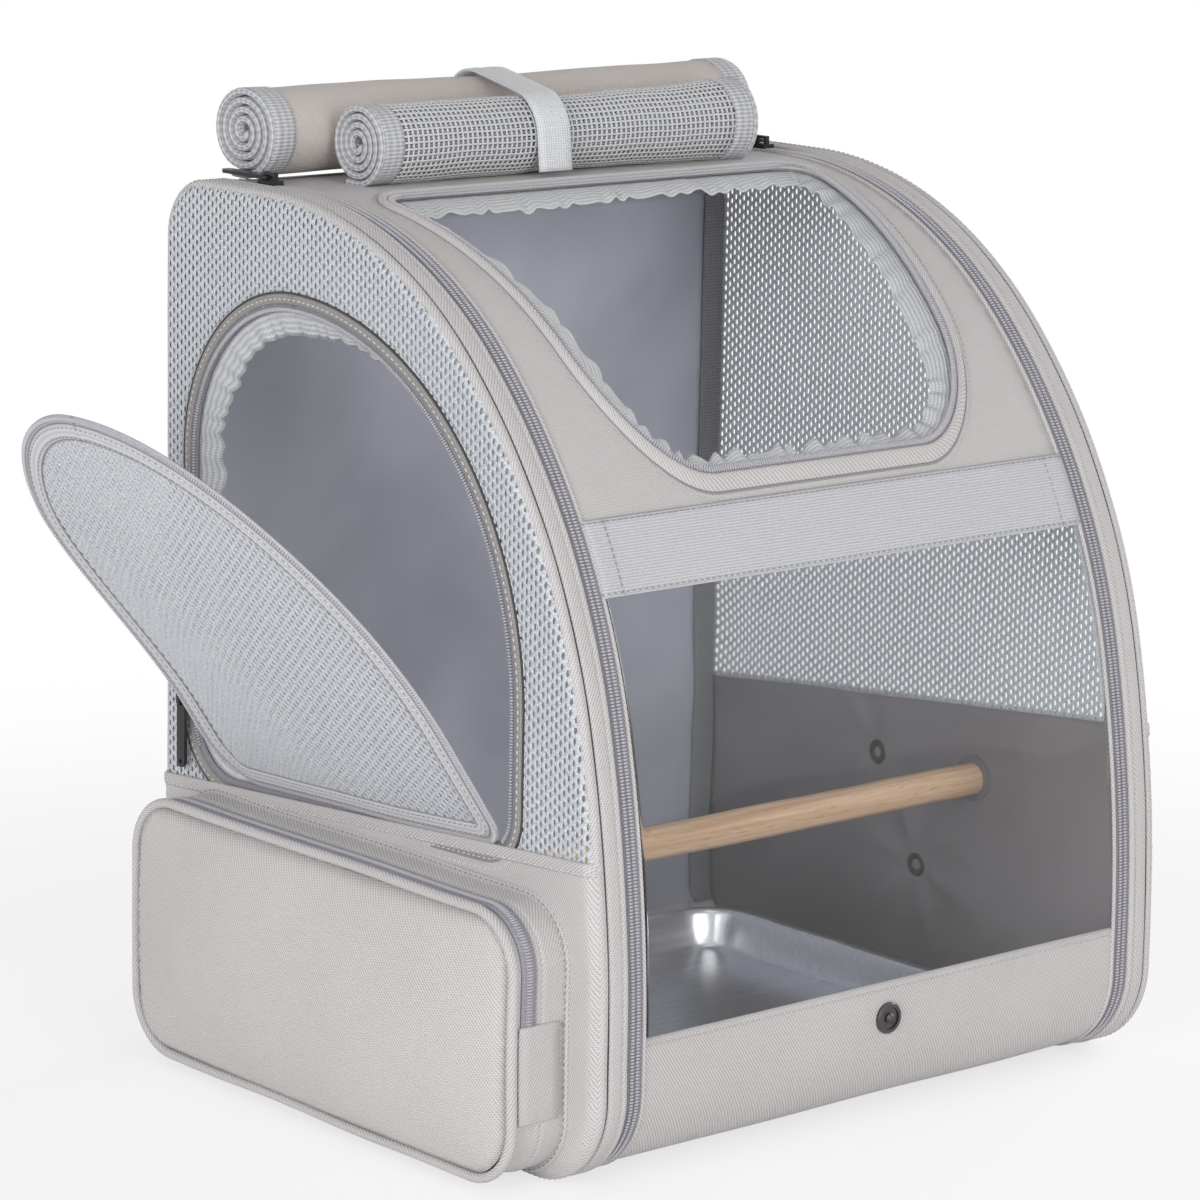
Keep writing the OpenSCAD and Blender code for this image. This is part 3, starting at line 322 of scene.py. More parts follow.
# pressed stainless steel sheet: bright, with fine rolling lines and a soft blur
stainless = grained("stainlessSheet", "#f2f3f5", 0.24, {"Scale": 1.0, "Detail": 3.0}, 0.0001, 0.15, "#dedfe3",
                    (0.3, 0.7), stretch=(8, 900, 200), Metallic=1.0)
blackEnamel = enamelled("blackEnamel", "#1e1e20", 0.38)
blackGloss = enamelled("blackEyeletEnamel", "#101011", 0.16)
gunmetal = enamelled("gunmetal", "#5a5757", 0.28, 0.9)
washerNylon = enamelled("washerNylon", "#6f6d71", 0.5)
strapBlack = enamelled("mouldedAcetal", "#29292b", 0.45)
boardCloth = nylonSatin("boardCover", "#56575e", "#74757c")
print("materials made")


# mesh helpers
def newPiece(name, points, faces, material, uv=None, loopUv=None):
    # a smooth mesh at the origin, mapped in metres by its points (uv) or by its corners (loopUv)
    mesh = bpy.data.meshes.new(name)
    mesh.from_pydata([tuple(map(float, p)) for p in points], [], [tuple(map(int, f)) for f in faces])
    if uv is not None:
        loops = np.empty(len(mesh.loops), dtype=np.int32)
        mesh.loops.foreach_get("vertex_index", loops)
        loopUv = np.asarray(uv)[loops]
    if loopUv is not None:
        layer = mesh.uv_layers.new(name="UVMap")
        layer.data.foreach_set("uv", np.asarray(loopUv, np.float32).ravel())
    mesh.materials.append(material)
    mesh.polygons.foreach_set("use_smooth", np.ones(len(mesh.polygons), bool))
    mesh.update()
    piece = bpy.data.objects.new(name, mesh)
    scene.collection.objects.link(piece)
    return piece


def facedOut(piece):
    # an open cloth faces away from the middle of the bag, so that its thickness goes inwards
    middle = Vector((0, 0, 0.2))
    if sum(f.normal.dot(f.center - middle) * f.area for f in piece.data.polygons) < 0:
        piece.data.flip_normals()
    return piece


def outward(piece, openEdges=False):
    # normals recalculated on a closed mesh; open edges are filled with a flat face first
    work = bmesh.new()
    work.from_mesh(piece.data)
    if openEdges:
        bmesh.ops.holes_fill(work, edges=[e for e in work.edges if e.is_boundary])
    bmesh.ops.recalc_face_normals(work, faces=work.faces)
    if openEdges:
        for face in work.faces:
            face.smooth = len(face.verts) < 5
    work.to_mesh(piece.data)
    work.free()
    return piece


def settled(piece):
    # the piece with its modifiers applied
    bpy.context.view_layer.update()
    result = bpy.data.meshes.new_from_object(piece.evaluated_get(bpy.context.evaluated_depsgraph_get()))
    piece.modifiers.clear()
    old = piece.data
    piece.data = result
    bpy.data.meshes.remove(old)
    return piece


def thicken(piece, thickness, offset=-1.0):
    solid = piece.modifiers.new("thickness", "SOLIDIFY")
    solid.thickness, solid.offset = thickness, offset
    return settled(piece)


def warped(piece, move):
    # moves every point of a piece by a function of its place
    points = np.empty(len(piece.data.vertices) * 3)
    piece.data.vertices.foreach_get("co", points)
    piece.data.vertices.foreach_set("co", move(points.reshape(-1, 3)).ravel())
    piece.data.update()
    return piece


def finished(piece, slotName, *replaced, body=root, move=None):
    # the piece's last warp, its body and the nodes that it stands for; its slot name is not used
    if move:
        warped(piece, move)
    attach(piece, body)
    if replaced:
        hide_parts(*replaced)
    return piece


def lofted(name, rings, material, closedRun=False, closedSection=True):
    # a surface through rings (count, width, 3), mapped in metres across and along it
    rings = np.asarray(rings, float)
    count, width = rings.shape[:2]
    around = np.concatenate([rings, rings[:, :1]], axis=1) if closedSection else rings
    along = np.concatenate([rings, rings[:1]], axis=0) if closedRun else rings
    across = np.concatenate([[0], np.cumsum(np.linalg.norm(np.diff(around, axis=1), axis=2).mean(0))])
    run = np.concatenate([[0], np.cumsum(np.linalg.norm(np.diff(along, axis=0), axis=2).mean(1))])
    faces, loopUv = [], []
    for i in range(len(run) - 1):
        for j in range(len(across) - 1):
            corners = ((i, j), (i, j + 1), (i + 1, j + 1), (i + 1, j))
            faces.append([(a % count) * width + b % width for a, b in corners])
            loopUv += [(across[b], run[a]) for a, b in corners]
    if closedSection and not closedRun:
        for i, order in ((0, range(width - 1, -1, -1)), (count - 1, range(width))):
            faces.append([i * width + j for j in order])
            loopUv += [(across[j], run[i] + 0.0001 * j) for j in order]
    piece = newPiece(name, rings.reshape(-1, 3), faces, material, loopUv=loopUv)
    return outward(piece) if closedSection else facedOut(piece)


def tubeRings(centres, across, outward, sides, radii):
    # rings round a line, from the two directions that span its section
    return np.stack([centres + across * radii[0] * math.sin(t) + outward * radii[1] * math.cos(t)
                     for t in np.linspace(0, fullTurn, sides, endpoint=False)], axis=1)


def soft(x, y, z, scale, seed=0.0):
    # smooth noise from -1 to 1
    return noise.noise(Vector((x * scale + seed, y * scale - seed, z * scale + 0.37 * seed)))


def noiseField(points, scale, seed):
    return np.array([soft(*p, scale, seed) for p in points])


def uneven(sideways, inPlane):
    # cloth isn't drawn with a ruler: (amplitude, scale, seed) across the bag, then in its side plane
    def move(points):
        points[:, 0] += sideways[0] * noiseField(points, *sideways[1:])
        points[:, 1:] += inPlane[0] * noiseField(points, *inPlane[1:])[:, None]
        return points
    return move


def insideOutline(points, outline):
    # which 2D points lie inside a polygon
    points, outline = np.asarray(points, float), np.asarray(outline, float)
    inside = np.zeros(len(points), bool)
    for (ax, ay), (bx, by) in zip(outline, np.roll(outline, -1, axis=0)):
        crosses = (ay > points[:, 1]) != (by > points[:, 1])
        with np.errstate(divide="ignore", invalid="ignore"):
            at = ax + (points[:, 1] - ay) * (bx - ax) / (by - ay)
        inside ^= crosses & (points[:, 0] < at)
    return inside


def nearestOn(points, outline):
    # the nearest places on a closed outline to 2D points, and how far away they are
    points, outline = np.asarray(points, float), np.asarray(outline, float)
    best, found = np.full(len(points), 1e9), points.copy()
    for p, q in zip(outline, np.roll(outline, -1, axis=0)):
        d = q - p
        spots = p + np.clip(((points - p) @ d) / max(d @ d, 1e-12), 0, 1)[:, None] * d
        away = np.linalg.norm(points - spots, axis=1)
        nearer = away < best
        best[nearer], found[nearer] = away[nearer], spots[nearer]
    return found, best


def distanceTo(points, outline):
    return nearestOn(points, outline)[1]


def heldInside(points, outline):
    # points past an outline are drawn back to the nearest place on it
    points = np.array(points, float)
    loose = np.flatnonzero(~insideOutline(points, outline))
    points[loose] = nearestOn(points[loose], outline)[0]
    return points


def filledSheet(outline, holes=(), spacing=0.006):
    # triangles that fill an outline with a regular grid inside it: points and faces
    points, edges, rings = [], [], []
    for corners in [outline, *holes]:
        corners, ring = np.asarray(corners, float), []
        for a, b in zip(corners, np.roll(corners, -1, axis=0)):
            count = max(1, int(round(np.linalg.norm(b - a) / spacing)))
            ring += [a + (b - a) * i / count for i in range(count)]
        start = len(points)
        points += [Vector(p) for p in ring]
        edges += [(start + i, start + (i + 1) % len(ring)) for i in range(len(ring))]
        rings.append(np.array(ring))

    def inSheet(spots):
        kept = insideOutline(spots, rings[0])
        for ring in rings[1:]:
            kept &= ~insideOutline(spots, ring)
        return kept

    low, high = rings[0].min(0), rings[0].max(0)
    rowHeight = spacing * 0.866
    inner = np.array([(low[0] + (i + 0.5 * (j % 2)) * spacing, low[1] + j * rowHeight)
                      for j in range(int((high[1] - low[1]) / rowHeight) + 2)
                      for i in range(int((high[0] - low[0]) / spacing) + 2)])
    inner = inner[inSheet(inner)]
    for ring in rings:
        inner = inner[distanceTo(inner, ring) > spacing * 0.55]
    points += [Vector(p) for p in inner]
    made, _, faces = delaunay_2d_cdt(points, edges, [], 0, 1e-7)[:3]
    made = np.array([tuple(p) for p in made])
    keep = inSheet(np.array([made[list(f)].mean(0) for f in faces]))
    corners = made[np.array([f[:3] for f in faces])]
    a, b = corners[:, 1] - corners[:, 0], corners[:, 2] - corners[:, 0]
    keep &= np.abs(a[:, 0] * b[:, 1] - a[:, 1] * b[:, 0]) > 1e-8
    return made, [tuple(f) for f, k in zip(faces, keep) if k]


def roundedOutline(corners, radii, perCorner=16, perSide=26):
    # a closed outline with rounded corners, the same count of points whatever the radii
    corners = [np.array(c, float) for c in corners]
    arcs = []
    for i, (at, radius) in enumerate(zip(corners, radii)):
        a, b = unit(corners[i - 1] - at), unit(corners[(i + 1) % len(corners)] - at)
        half = math.acos(max(-1, min(1, float(a @ b)))) / 2
        centre = at + unit(a + b) * radius / math.sin(half)
        first = at + a * radius / math.tan(half) - centre
        last = at + b * radius / math.tan(half) - centre
        turn = math.atan2(first[0] * last[1] - first[1] * last[0], first @ last)
        arcs.append([centre + first * math.cos(t) + np.array([-first[1], first[0]]) * math.sin(t)
                     for t in np.linspace(0, turn, perCorner)])
    points = []
    for arc, following in zip(arcs, arcs[1:] + arcs[:1]):
        points += arc
        points += [arc[-1] + (following[0] - arc[-1]) * k / (perSide + 1) for k in range(1, perSide + 1)]
    return np.array(points)


def boxCorners(low, high, grow):
    # the corners of a grown box, anticlockwise from its right low one
    (x0, y0), (x1, y1) = np.array(low) - grow, np.array(high) + grow
    return [(x1, y0), (x1, y1), (x0, y1), (x0, y0)]


def ringOf(outline, section, place):
    # rings of a section of (grow, height), in millimetres, carried round an outline that can grow
    return np.stack([place(outline(grow / 1000), height / 1000) for grow, height in section], axis=1)


def repeatTree(alongPath):
    # repeats a piece along a path, or at points, then joins the copies
    tree = bpy.data.node_groups.new("repeatAlongPath" if alongPath else "repeatAtPoints", "GeometryNodeTree")
    for name, kind in [("Geometry", "Geometry"), ("Spacing", "Float"), ("Piece", "Object"),
                       ("Material", "Material"), ("Join Distance", "Float")]:
        tree.interface.new_socket(name, in_out="INPUT", socket_type="NodeSocket" + kind)
    tree.interface.new_socket("Geometry", in_out="OUTPUT", socket_type="NodeSocketGeometry")
    given = addNode(tree, "NodeGroupInput").outputs
    piece = addNode(tree, "GeometryNodeObjectInfo", inputs={"Object": given["Piece"]}).outputs["Geometry"]
    if alongPath:
        curve = addNode(tree, "GeometryNodeMeshToCurve", inputs={"Mesh": given["Geometry"]}).outputs["Curve"]
        spaced = addNode(tree, "GeometryNodeResampleCurve", {"mode": "LENGTH"}, {
            "Curve": curve, "Length": given["Spacing"]}).outputs["Curve"]
        spots = addNode(tree, "GeometryNodeCurveToPoints", {"mode": "EVALUATED"}, {"Curve": spaced}).outputs
        up = addNode(tree, "GeometryNodeInputNamedAttribute", {"data_type": "FLOAT_VECTOR"}, {"Name": "up"})
        first = addNode(tree, "FunctionNodeAlignRotationToVector", {"axis": "X"}, {"Vector": spots["Tangent"]})
        turned = addNode(tree, "FunctionNodeAlignRotationToVector", {"axis": "Z", "pivot_axis": "X"}, {
            "Rotation": first.outputs[0], "Vector": up.outputs[0]})
        placed = {"Points": spots["Points"], "Rotation": turned.outputs[0]}
    else:
        spots = addNode(tree, "GeometryNodeMeshToPoints", inputs={"Mesh": given["Geometry"]})
        placed = {"Points": spots.outputs["Points"]}
    made = addNode(tree, "GeometryNodeInstanceOnPoints",
                   inputs={**placed, "Instance": piece}).outputs["Instances"]
    for kind, extra in (("RealizeInstances", {}), ("MergeByDistance", {"Distance": given["Join Distance"]}),
                        ("SetMaterial", {"Material": given["Material"]})):
        made = addNode(tree, "GeometryNode" + kind, inputs={**extra, "Geometry": made}).outputs["Geometry"]
    addNode(tree, "NodeGroupOutput", inputs={"Geometry": made})
    return tree


pathTree, pointTree = repeatTree(True), repeatTree(False)


def repeated(name, tree, points, small, material, ups=None, closed=False, spacing=0.003, join=0.0):
    # copies of a small piece along a path, with their tops towards ups, or at points
    count = len(points)
    edges = [(i, (i + 1) % count) for i in range(count if closed else count - 1)] if tree == pathTree else []
    mesh = bpy.data.meshes.new(name)
    mesh.from_pydata([tuple(map(float, p)) for p in points], edges, [])
    if ups is not None:
        attribute = mesh.attributes.new("up", "FLOAT_VECTOR", "POINT")
        attribute.data.foreach_set("vector", np.broadcast_to(np.asarray(ups, np.float32), (count, 3)).ravel())
    copies = bpy.data.objects.new(name, mesh)
    scene.collection.objects.link(copies)
    repeat = copies.modifiers.new("repeat", "NODES")
    repeat.node_group = tree
    given = {"Spacing": spacing, "Piece": small, "Material": material, "Join Distance": join}
    for socket in tree.interface.items_tree:
        if socket.in_out == "INPUT" and socket.name in given:
            repeat[socket.identifier] = given[socket.name]
    return settled(copies)


def smallPiece(name, points, faces):
    # not linked: it is only copied
    mesh = bpy.data.meshes.new(name)
    mesh.from_pydata(points, [], faces)
    mesh.polygons.foreach_set("use_smooth", np.ones(len(mesh.polygons), bool))
    return bpy.data.objects.new(name, mesh)


def bead(name, sizes, shares, spacing):
    # a small lozenge along X, six-sided: sizes are its length, width and height
    length, width, height = sizes
    points, faces, last = [], [], 6 * (len(shares) - 1)
    for i, share in enumerate(shares):
        at = (i + 1) / (len(shares) + 1) - 0.5
        points += [(at * length, share * width / 2 * math.cos(t), share * height / 2 * math.sin(t))
                   for t in (fullTurn * j / 6 for j in range(6))]
    points += [(-length / 2, 0, 0), (length / 2, 0, 0)]
    for i in range(len(shares) - 1):
        faces += [(i * 6 + j, (i + 1) * 6 + j, (i + 1) * 6 + (j + 1) % 6, i * 6 + (j + 1) % 6)
                  for j in range(6)]
    faces += [(len(points) - 2, j, (j + 1) % 6) for j in range(6)]
    faces += [(len(points) - 1, last + (j + 1) % 6, last + j) for j in range(6)]
    return smallPiece(name, points, faces), spacing


stitch = bead("stitchPiece", (0.0026, 0.0007, 0.0006), (0.7, 1.0, 0.7), 0.0036)
coil = bead("coilPiece", (0.0010, 0.0040, 0.0013), (1.0, 1.0), 0.0014)
halfCoil = bead("halfCoil", (0.0010, 0.0026, 0.0014), (1.0, 1.0), 0.0014)
tooth = bead("zipTooth", (0.0013, 0.0028, 0.0011), (0.9, 0.9), 0.0015)


def beadRow(kind, name, points, ups, material=coilNylon, slotName="zip_tape", closed=False, **rest):
    # stitches, coil turns or zip teeth along a line
    small, spacing = kind
    return finished(repeated(name, pathTree, points, small, material, ups, closed, spacing), slotName, **rest)


def stitchRow(name, points, ups, material=threadDark, slotName="oxford_fabric", closed=False, **rest):
    return beadRow(stitch, name, points, ups, material, slotName, closed, **rest)


# camera, lamps, floor
view = {"place": (-1.4546, -1.6219, 0.6735), "right": (0.7564, -0.6538, 0.0193),
        "back": (-0.6432, -0.7381, 0.2036), "lens": 139.14, "sensor": 36.0}
cameraData = bpy.data.cameras.new("camera")
cameraData.lens, cameraData.sensor_width = view["lens"], view["sensor"]
camera = bpy.data.objects.new("camera", cameraData)
scene.collection.objects.link(camera)
back = Vector(view["back"]).normalized()
right = (Vector(view["right"]) - Vector(view["right"]).dot(back) * back).normalized()
turn = Matrix((right, back.cross(right), back)).transposed()
camera.matrix_world = Matrix.Translation(view["place"]) @ turn.to_4x4()
scene.camera = camera

studio = {"lamps": {"key": ((-2.6, -0.9, 0.9), 1.6, 40.0), "fill": ((-0.5, -2.7, 0.8), 1.6, 28.0),
                    "rim": ((2.4, 0.2, 0.8), 1.4, 33.0)},
          "sky": 0.38, "floorNear": 0.35, "floorFar": 0.90, "floorGlow": 0.70, "floorHalf": 6,
          "floorZ": -0.0006}
for lampName, (place, size, power) in studio["lamps"].items():
    lampData = bpy.data.lights.new(lampName, "AREA")
    lampData.shape, lampData.size, lampData.energy = "SQUARE", size, power
    lamp = bpy.data.objects.new(lampName, lampData)
    lamp.location = place
    lamp.rotation_euler = (Vector((0, 0, 0.2)) - Vector(place)).to_track_quat("-Z", "Y").to_euler()
    scene.collection.objects.link(lamp)
world = bpy.data.worlds.new("studio")
scene.world = world
world.use_nodes = True
sky = world.node_tree
sky.nodes.clear()
seen = addNode(sky, "ShaderNodeLightPath").outputs
white = seen["Is Camera Ray"]
for ray in ("Is Glossy Ray", "Is Transmission Ray"):
    white = addNode(sky, "ShaderNodeMath", {"operation": "MAXIMUM"}, {0: white, 1: seen[ray]}).outputs[0]
dim, bright = [addNode(sky, "ShaderNodeBackground", inputs={
    "Color": (1, 1, 1, 1), "Strength": strength}).outputs[0] for strength in (studio["sky"], 1.0)]
skyMix = addNode(sky, "ShaderNodeMixShader", inputs={0: white, 1: dim, 2: bright})
addNode(sky, "ShaderNodeOutputWorld", inputs={"Surface": skyMix.outputs[0]})
scene.view_settings.view_transform = "Standard"

# painted studio floor: matt, pale, it keeps the soft shadow
floorFinish = grained("paintedFloor", "#fbfbfb", 0.9, {"Scale": 300.0}, 0.0002, 0.1, stretch=(1, 1, 1))
floorTree = floorFinish.node_tree
# away from the object the floor runs into the white background
reach = addNode(floorTree, "ShaderNodeVectorMath", {"operation": "LENGTH"}, {
    0: addNode(floorTree, "ShaderNodeTexCoord").outputs["Object"]}).outputs["Value"]
fade = addNode(floorTree, "ShaderNodeMapRange", {"interpolation_type": "SMOOTHSTEP"}, {
    "From Min": studio["floorNear"], "From Max": studio["floorFar"], "To Min": studio["floorGlow"],
    "Value": reach}).outputs["Result"]
looks = addNode(floorTree, "ShaderNodeLightPath").outputs
looked = addNode(floorTree, "ShaderNodeMath", {"operation": "MAXIMUM"}, {
    0: looks["Is Camera Ray"], 1: looks["Is Transmission Ray"]}).outputs[0]
share = addNode(floorTree, "ShaderNodeMath", {"operation": "MULTIPLY"}, {0: fade, 1: looked}).outputs[0]
glow = addNode(floorTree, "ShaderNodeEmission", inputs={"Color": (1, 1, 1, 1), "Strength": 1.0})
blend = addNode(floorTree, "ShaderNodeMixShader", inputs={
    0: share, 1: floorTree.nodes["Principled BSDF"].outputs[0], 2: glow.outputs[0]})
floorTree.links.new(blend.outputs[0], floorTree.nodes["Material Output"].inputs["Surface"])
floorPlan = [(a * studio["floorHalf"], b * studio["floorHalf"])
             for a, b in ((-1, -1), (1, -1), (1, 1), (-1, 1))]
floor = newPiece("floor", [(x, y, studio["floorZ"]) for x, y in floorPlan], [(0, 1, 2, 3)], floorFinish,
                 floorPlan)
print("camera, lamps and floor placed")


# fabric borders of the two sides, with their zips: sections of (x, inset) in millimetres
border = {"rings": 380, "rows": 900, "zipRings": 420, "teeth": (("Outer", 0.1576), ("Inner", 0.1544)),
          "cloth": [(176.4, 4.4), (174, 4), (168, 4), (161.6, 4), (160.9, 3.2), (160.7, 1.6), (160.9, 0.3),
                    (161.5, -0.35), (162.6, -0.5), (163.6, -0.25), (164.1, 0.12), (164.7, -0.2), (166, -0.4),
                    (169, -0.45), (170.6, -0.35), (171.2, 0.1), (171.6, 1.1), (171.9, 1.9), (172.2, 1.1),
                    (172.6, 0.1), (173.4, -0.35), (174.8, -0.3), (175.9, 0.1), (176.7, 0.9), (177.0, 2.0),
                    (176.8, 3.4)],
          "seam": [(171.45, 1.9), (171.5, 0.55), (171.9, 0.4), (172.3, 0.55), (172.35, 1.9)],
          "tape": [(150.4, 2.6), (150.4, 1.35), (152.5, 1.1), (153.0, 1.7), (153.4, 1.1), (155.6, 1.1),
                   (156.0, 2.0), (156.4, 1.1), (158.6, 1.1), (159.0, 1.7), (159.5, 1.1), (161.3, 1.35),
                   (161.3, 2.6)],
          "welt": [(151.3, 2.0), (151.4, 1.2), (151.1, 0.5), (150.5, 0.3), (149.9, 0.6), (149.6, 1.4),
                   (149.7, 2.0)]}
roofBack, floorHigh = 0.134, 1e-6
zipStart = float(runAtDepth(roofBack))
bottomRun = float(archRun[topIndex:][np.argmax(archPoints[topIndex:, 1] < floorHigh)])
allRuns, rows = (np.linspace(0, archLength, border[count], endpoint=False) for count in ("rings", "rows"))
zipRuns = np.linspace(zipStart, bottomRun, border["zipRings"])
sides = (("left", -1), ("right", 1))
for name, sign in sides:
    finished(lofted(name + "BorderCloth", archRings(border["cloth"], allRuns, sign), twill, True),
             "oxford_fabric", name + "_arch_frame", move=uneven((0.0003, 22, 3.1), (0.0003, 26, 7.7)))
    # a near-black strip down each border's groove: painted shade in the seam
    finished(lofted(name + "BorderSeam", archRings(border["seam"], allRuns, sign), seamShadeBlack, True),
             "oxford_fabric")
    for label, x, inset in (("Zip", 164.1, -0.05), ("Net", 174.6, -0.42)):
        stitchRow(name + "Border" + label + "Stitches", *archSpots(sign * x / 1000, rows, inset / 1000),
                  threadCloth, closed=True)
    finished(lofted(name + "ArchZipTape", archRings(border["tape"], zipRuns, sign), zipTapeDark), "zip_tape",
             name + "_arch_zip")
    for label, x in border["teeth"]:
        beadRow(tooth, name + "ArchTeeth" + label, *archSpots(sign * x, zipRuns, 0.0007))
    finished(lofted(name + "ZipWelt", archRings(border["welt"], zipRuns, sign), twill), "oxford_fabric")
print("borders and arch zips made")

# front: webbing band, clear window, lower panel
front = {"half": 0.1512, "bandTop": 0.294, "bandLow": 0.262, "windowTop": 0.278, "windowLow": 0.069,
         "seam": 0.0016, "snapZ": 0.0515}


def archSheet(name, runs, half, inset, counts, swell, material, thick, slotName, replaced, lengthwise=False):
    # a cloth between two runs of the arch that swells over its face and is thickened inwards
    runGrid, xGrid = np.meshgrid(np.linspace(*runs, counts[0]), np.linspace(-half, half, counts[1]),
                                 indexing="ij")
    rings = archSpots(xGrid, runGrid, inset - swell(xGrid, runGrid))[0]
    if lengthwise:
        rings = rings.transpose(1, 0, 2)
    return finished(thicken(lofted(name, rings, material, False, False), thick), slotName, replaced)


bandRuns = (runAtHeight(front["bandTop"]), runAtHeight(front["bandLow"]))
archSheet("frontBand", bandRuns, front["half"], 0.0004, (14, 60),
          lambda x, s: 0.0003 * np.sin(x * 60) * np.sin((s - bandRuns[0]) * 98), webbing, 0.0012, "webbing",
          "front_band", True)
bandSeams = (bandRuns[0] + front["seam"], bandRuns[1] - front["seam"])
for label, run in zip(("Top", "Low"), bandSeams):
    stitchRow("bandStitches" + label, *archSpots(np.linspace(-front["half"], front["half"], 110),
                                                 np.full(110, run), 0.0002), slotName="webbing")
for label, x in (("Left", -0.139), ("Right", 0.139)):
    beadRow((stitch[0], 0.0030), "bandBox" + label, *archSpots(x, np.linspace(*bandSeams, 16), 0.0002),
            threadDark, "webbing")

windowRuns = (runAtHeight(front["windowTop"]), runAtHeight(front["windowLow"] - 0.004))


def vinylWave(x, s):
    share = (s - windowRuns[0]) / (windowRuns[1] - windowRuns[0])
    held = (np.clip(np.minimum(share - 0.09, 0.97 - share) / 0.12, 0, 1)
            * np.clip(1 - (x / front["half"]) ** 6, 0, 1))
    return (0.0011 * np.sin(x * 17 + s * 9) * np.sin(s * 14 + 0.6)
            + 0.0005 * np.sin(x * 46 - s * 21 + 1.2) - 0.0006) * held


window = archSheet("clearWindow", windowRuns, front["half"] - 0.0008, 0.0016, (90, 90), vinylWave, vinyl,
                   0.0006, "clear_vinyl", "front_window")
lowRuns = (runAtHeight(front["windowLow"]), bottomRun)


def lowerBulge(x, s):
    # bent in to its top seam, flat round the snap
    share = np.clip((s - lowRuns[0]) / (lowRuns[1] - lowRuns[0]), 0, 1)
    top = np.clip((s - lowRuns[0]) / 0.0022, 0, 1)
    z = np.interp(s, archRun, archPoints[:, 1])
    clear = 1 - np.exp(-(x ** 2 + (z - front["snapZ"]) ** 2) / 0.0004)
    return (-0.0011 * (1 - top) ** 2 - 0.0001
            + clear * (0.0004 * np.sin(math.pi * share) * np.cos(x * 10)
                       + 0.00035 * np.sin(x * 38 + 1) * np.sin(share * 5 + x * 6)))


lower = archSheet("lowerPanelCloth", lowRuns, front["half"], 0.0014, (50, 110), lowerBulge, twill, 0.0024,
                  "oxford_fabric", "front_lower_panel")
stitchRow("lowerPanelStitches", *archSpots(np.linspace(-front["half"] + 0.004, front["half"] - 0.004, 120),
                                           np.full(120, lowRuns[0] + 0.0035), 0.0010), threadCloth)

# roof panel with its opening, zip and ruffled elastic: sections of (growth, depth) in millimetres
roof = {"back": (0.134, 0.056), "front": (0.107, -0.1036), "radii": (0.014, 0.050), "slope": 0.707,
        "low": 0.281, "tape": [(0.2, 2.2), (0.2, 1.0), (0.8, 0.7), (4.6, 0.75), (4.6, 2.2)],
        "strip": [(3.4, 1.9), (3.2, 0.8), (3.6, -0.1), (4.4, -0.7), (5.6, -0.95), (6.8, -0.65), (7.6, 0.0),
                  (8.0, 0.9), (8.1, 1.9)],
        "seam": [(8.0, 1.9), (8.1, 1.2), (8.7, 1.2), (8.9, 1.9)],
        "ruffle": [(5, 4.4), (1, 4.2), (-2, 4.0), (-5, 4.4), (-8, 5.2), (-11, 6.2), (-13, 7.2)]}


def roofOutline(grow):
    (backX, backY), (frontX, frontY) = roof["back"], roof["front"]
    backX, backY, frontX, frontY = backX + grow, backY + grow, frontX + grow, frontY - roof["slope"] * grow
    narrow, wide = (radius + grow for radius in roof["radii"])
    return roundedOutline([(backX, backY), (-backX, backY), (-frontX, frontY), (frontX, frontY)],
                          [narrow, narrow, wide, wide], 40, 90)


def onRoof(plan, inset):
    # a plan point on the roof, straight down to the inset surface
    runs = runAtDepth(plan[:, 1])
    return np.column_stack([plan, onArch(runs, 0)[1] - inset / np.maximum(archOut(runs)[1], 0.3)])


roofEdge = (runAtHeight(roof["low"]), zipStart)
hole = roofOutline(0.0030)
holeRuns = np.stack([hole[:, 0], runAtDepth(hole[:, 1])], axis=1)
points, faces = filledSheet([(way * front["half"], roofEdge[k])
                             for way, k in ((-1, 0), (1, 0), (1, 1), (-1, 1))], [holeRuns[::3]], 0.006)
roofCloth = newPiece("roofPanelCloth", archSpots(points[:, 0], points[:, 1], 0.0015)[0], faces, twill, points)
finished(thicken(facedOut(roofCloth), 0.0024), "oxford_fabric", "top_panel")
finished(lofted("roofZipTape", ringOf(roofOutline, roof["tape"], onRoof), zipTapePale, True), "zip_tape",
         "top_opening_zip")
# a rolled strip of the roof's cloth round the zip, and a dark strip in the deep seam outside it: painted shade
# of the seam
finished(lofted("roofZipBorder", ringOf(roofOutline, roof["strip"], onRoof), twill, True), "oxford_fabric")
finished(lofted("roofSeam", ringOf(roofOutline, roof["seam"], onRoof), threadDark, True), "oxford_fabric")
for name, kind, grow, inset, material, slotName in (
        ("roofCoil", coil, 0.0013, 0.0003, coilNylon, "zip_tape"),
        ("roofStitches", stitch, 0.0108, 0.0014, threadCloth, "oxford_fabric")):
    line = roofOutline(grow)
    beadRow(kind, name, onRoof(line, inset), archSpots(0, runAtDepth(line[:, 1]), 0)[1], material, slotName,
            True)


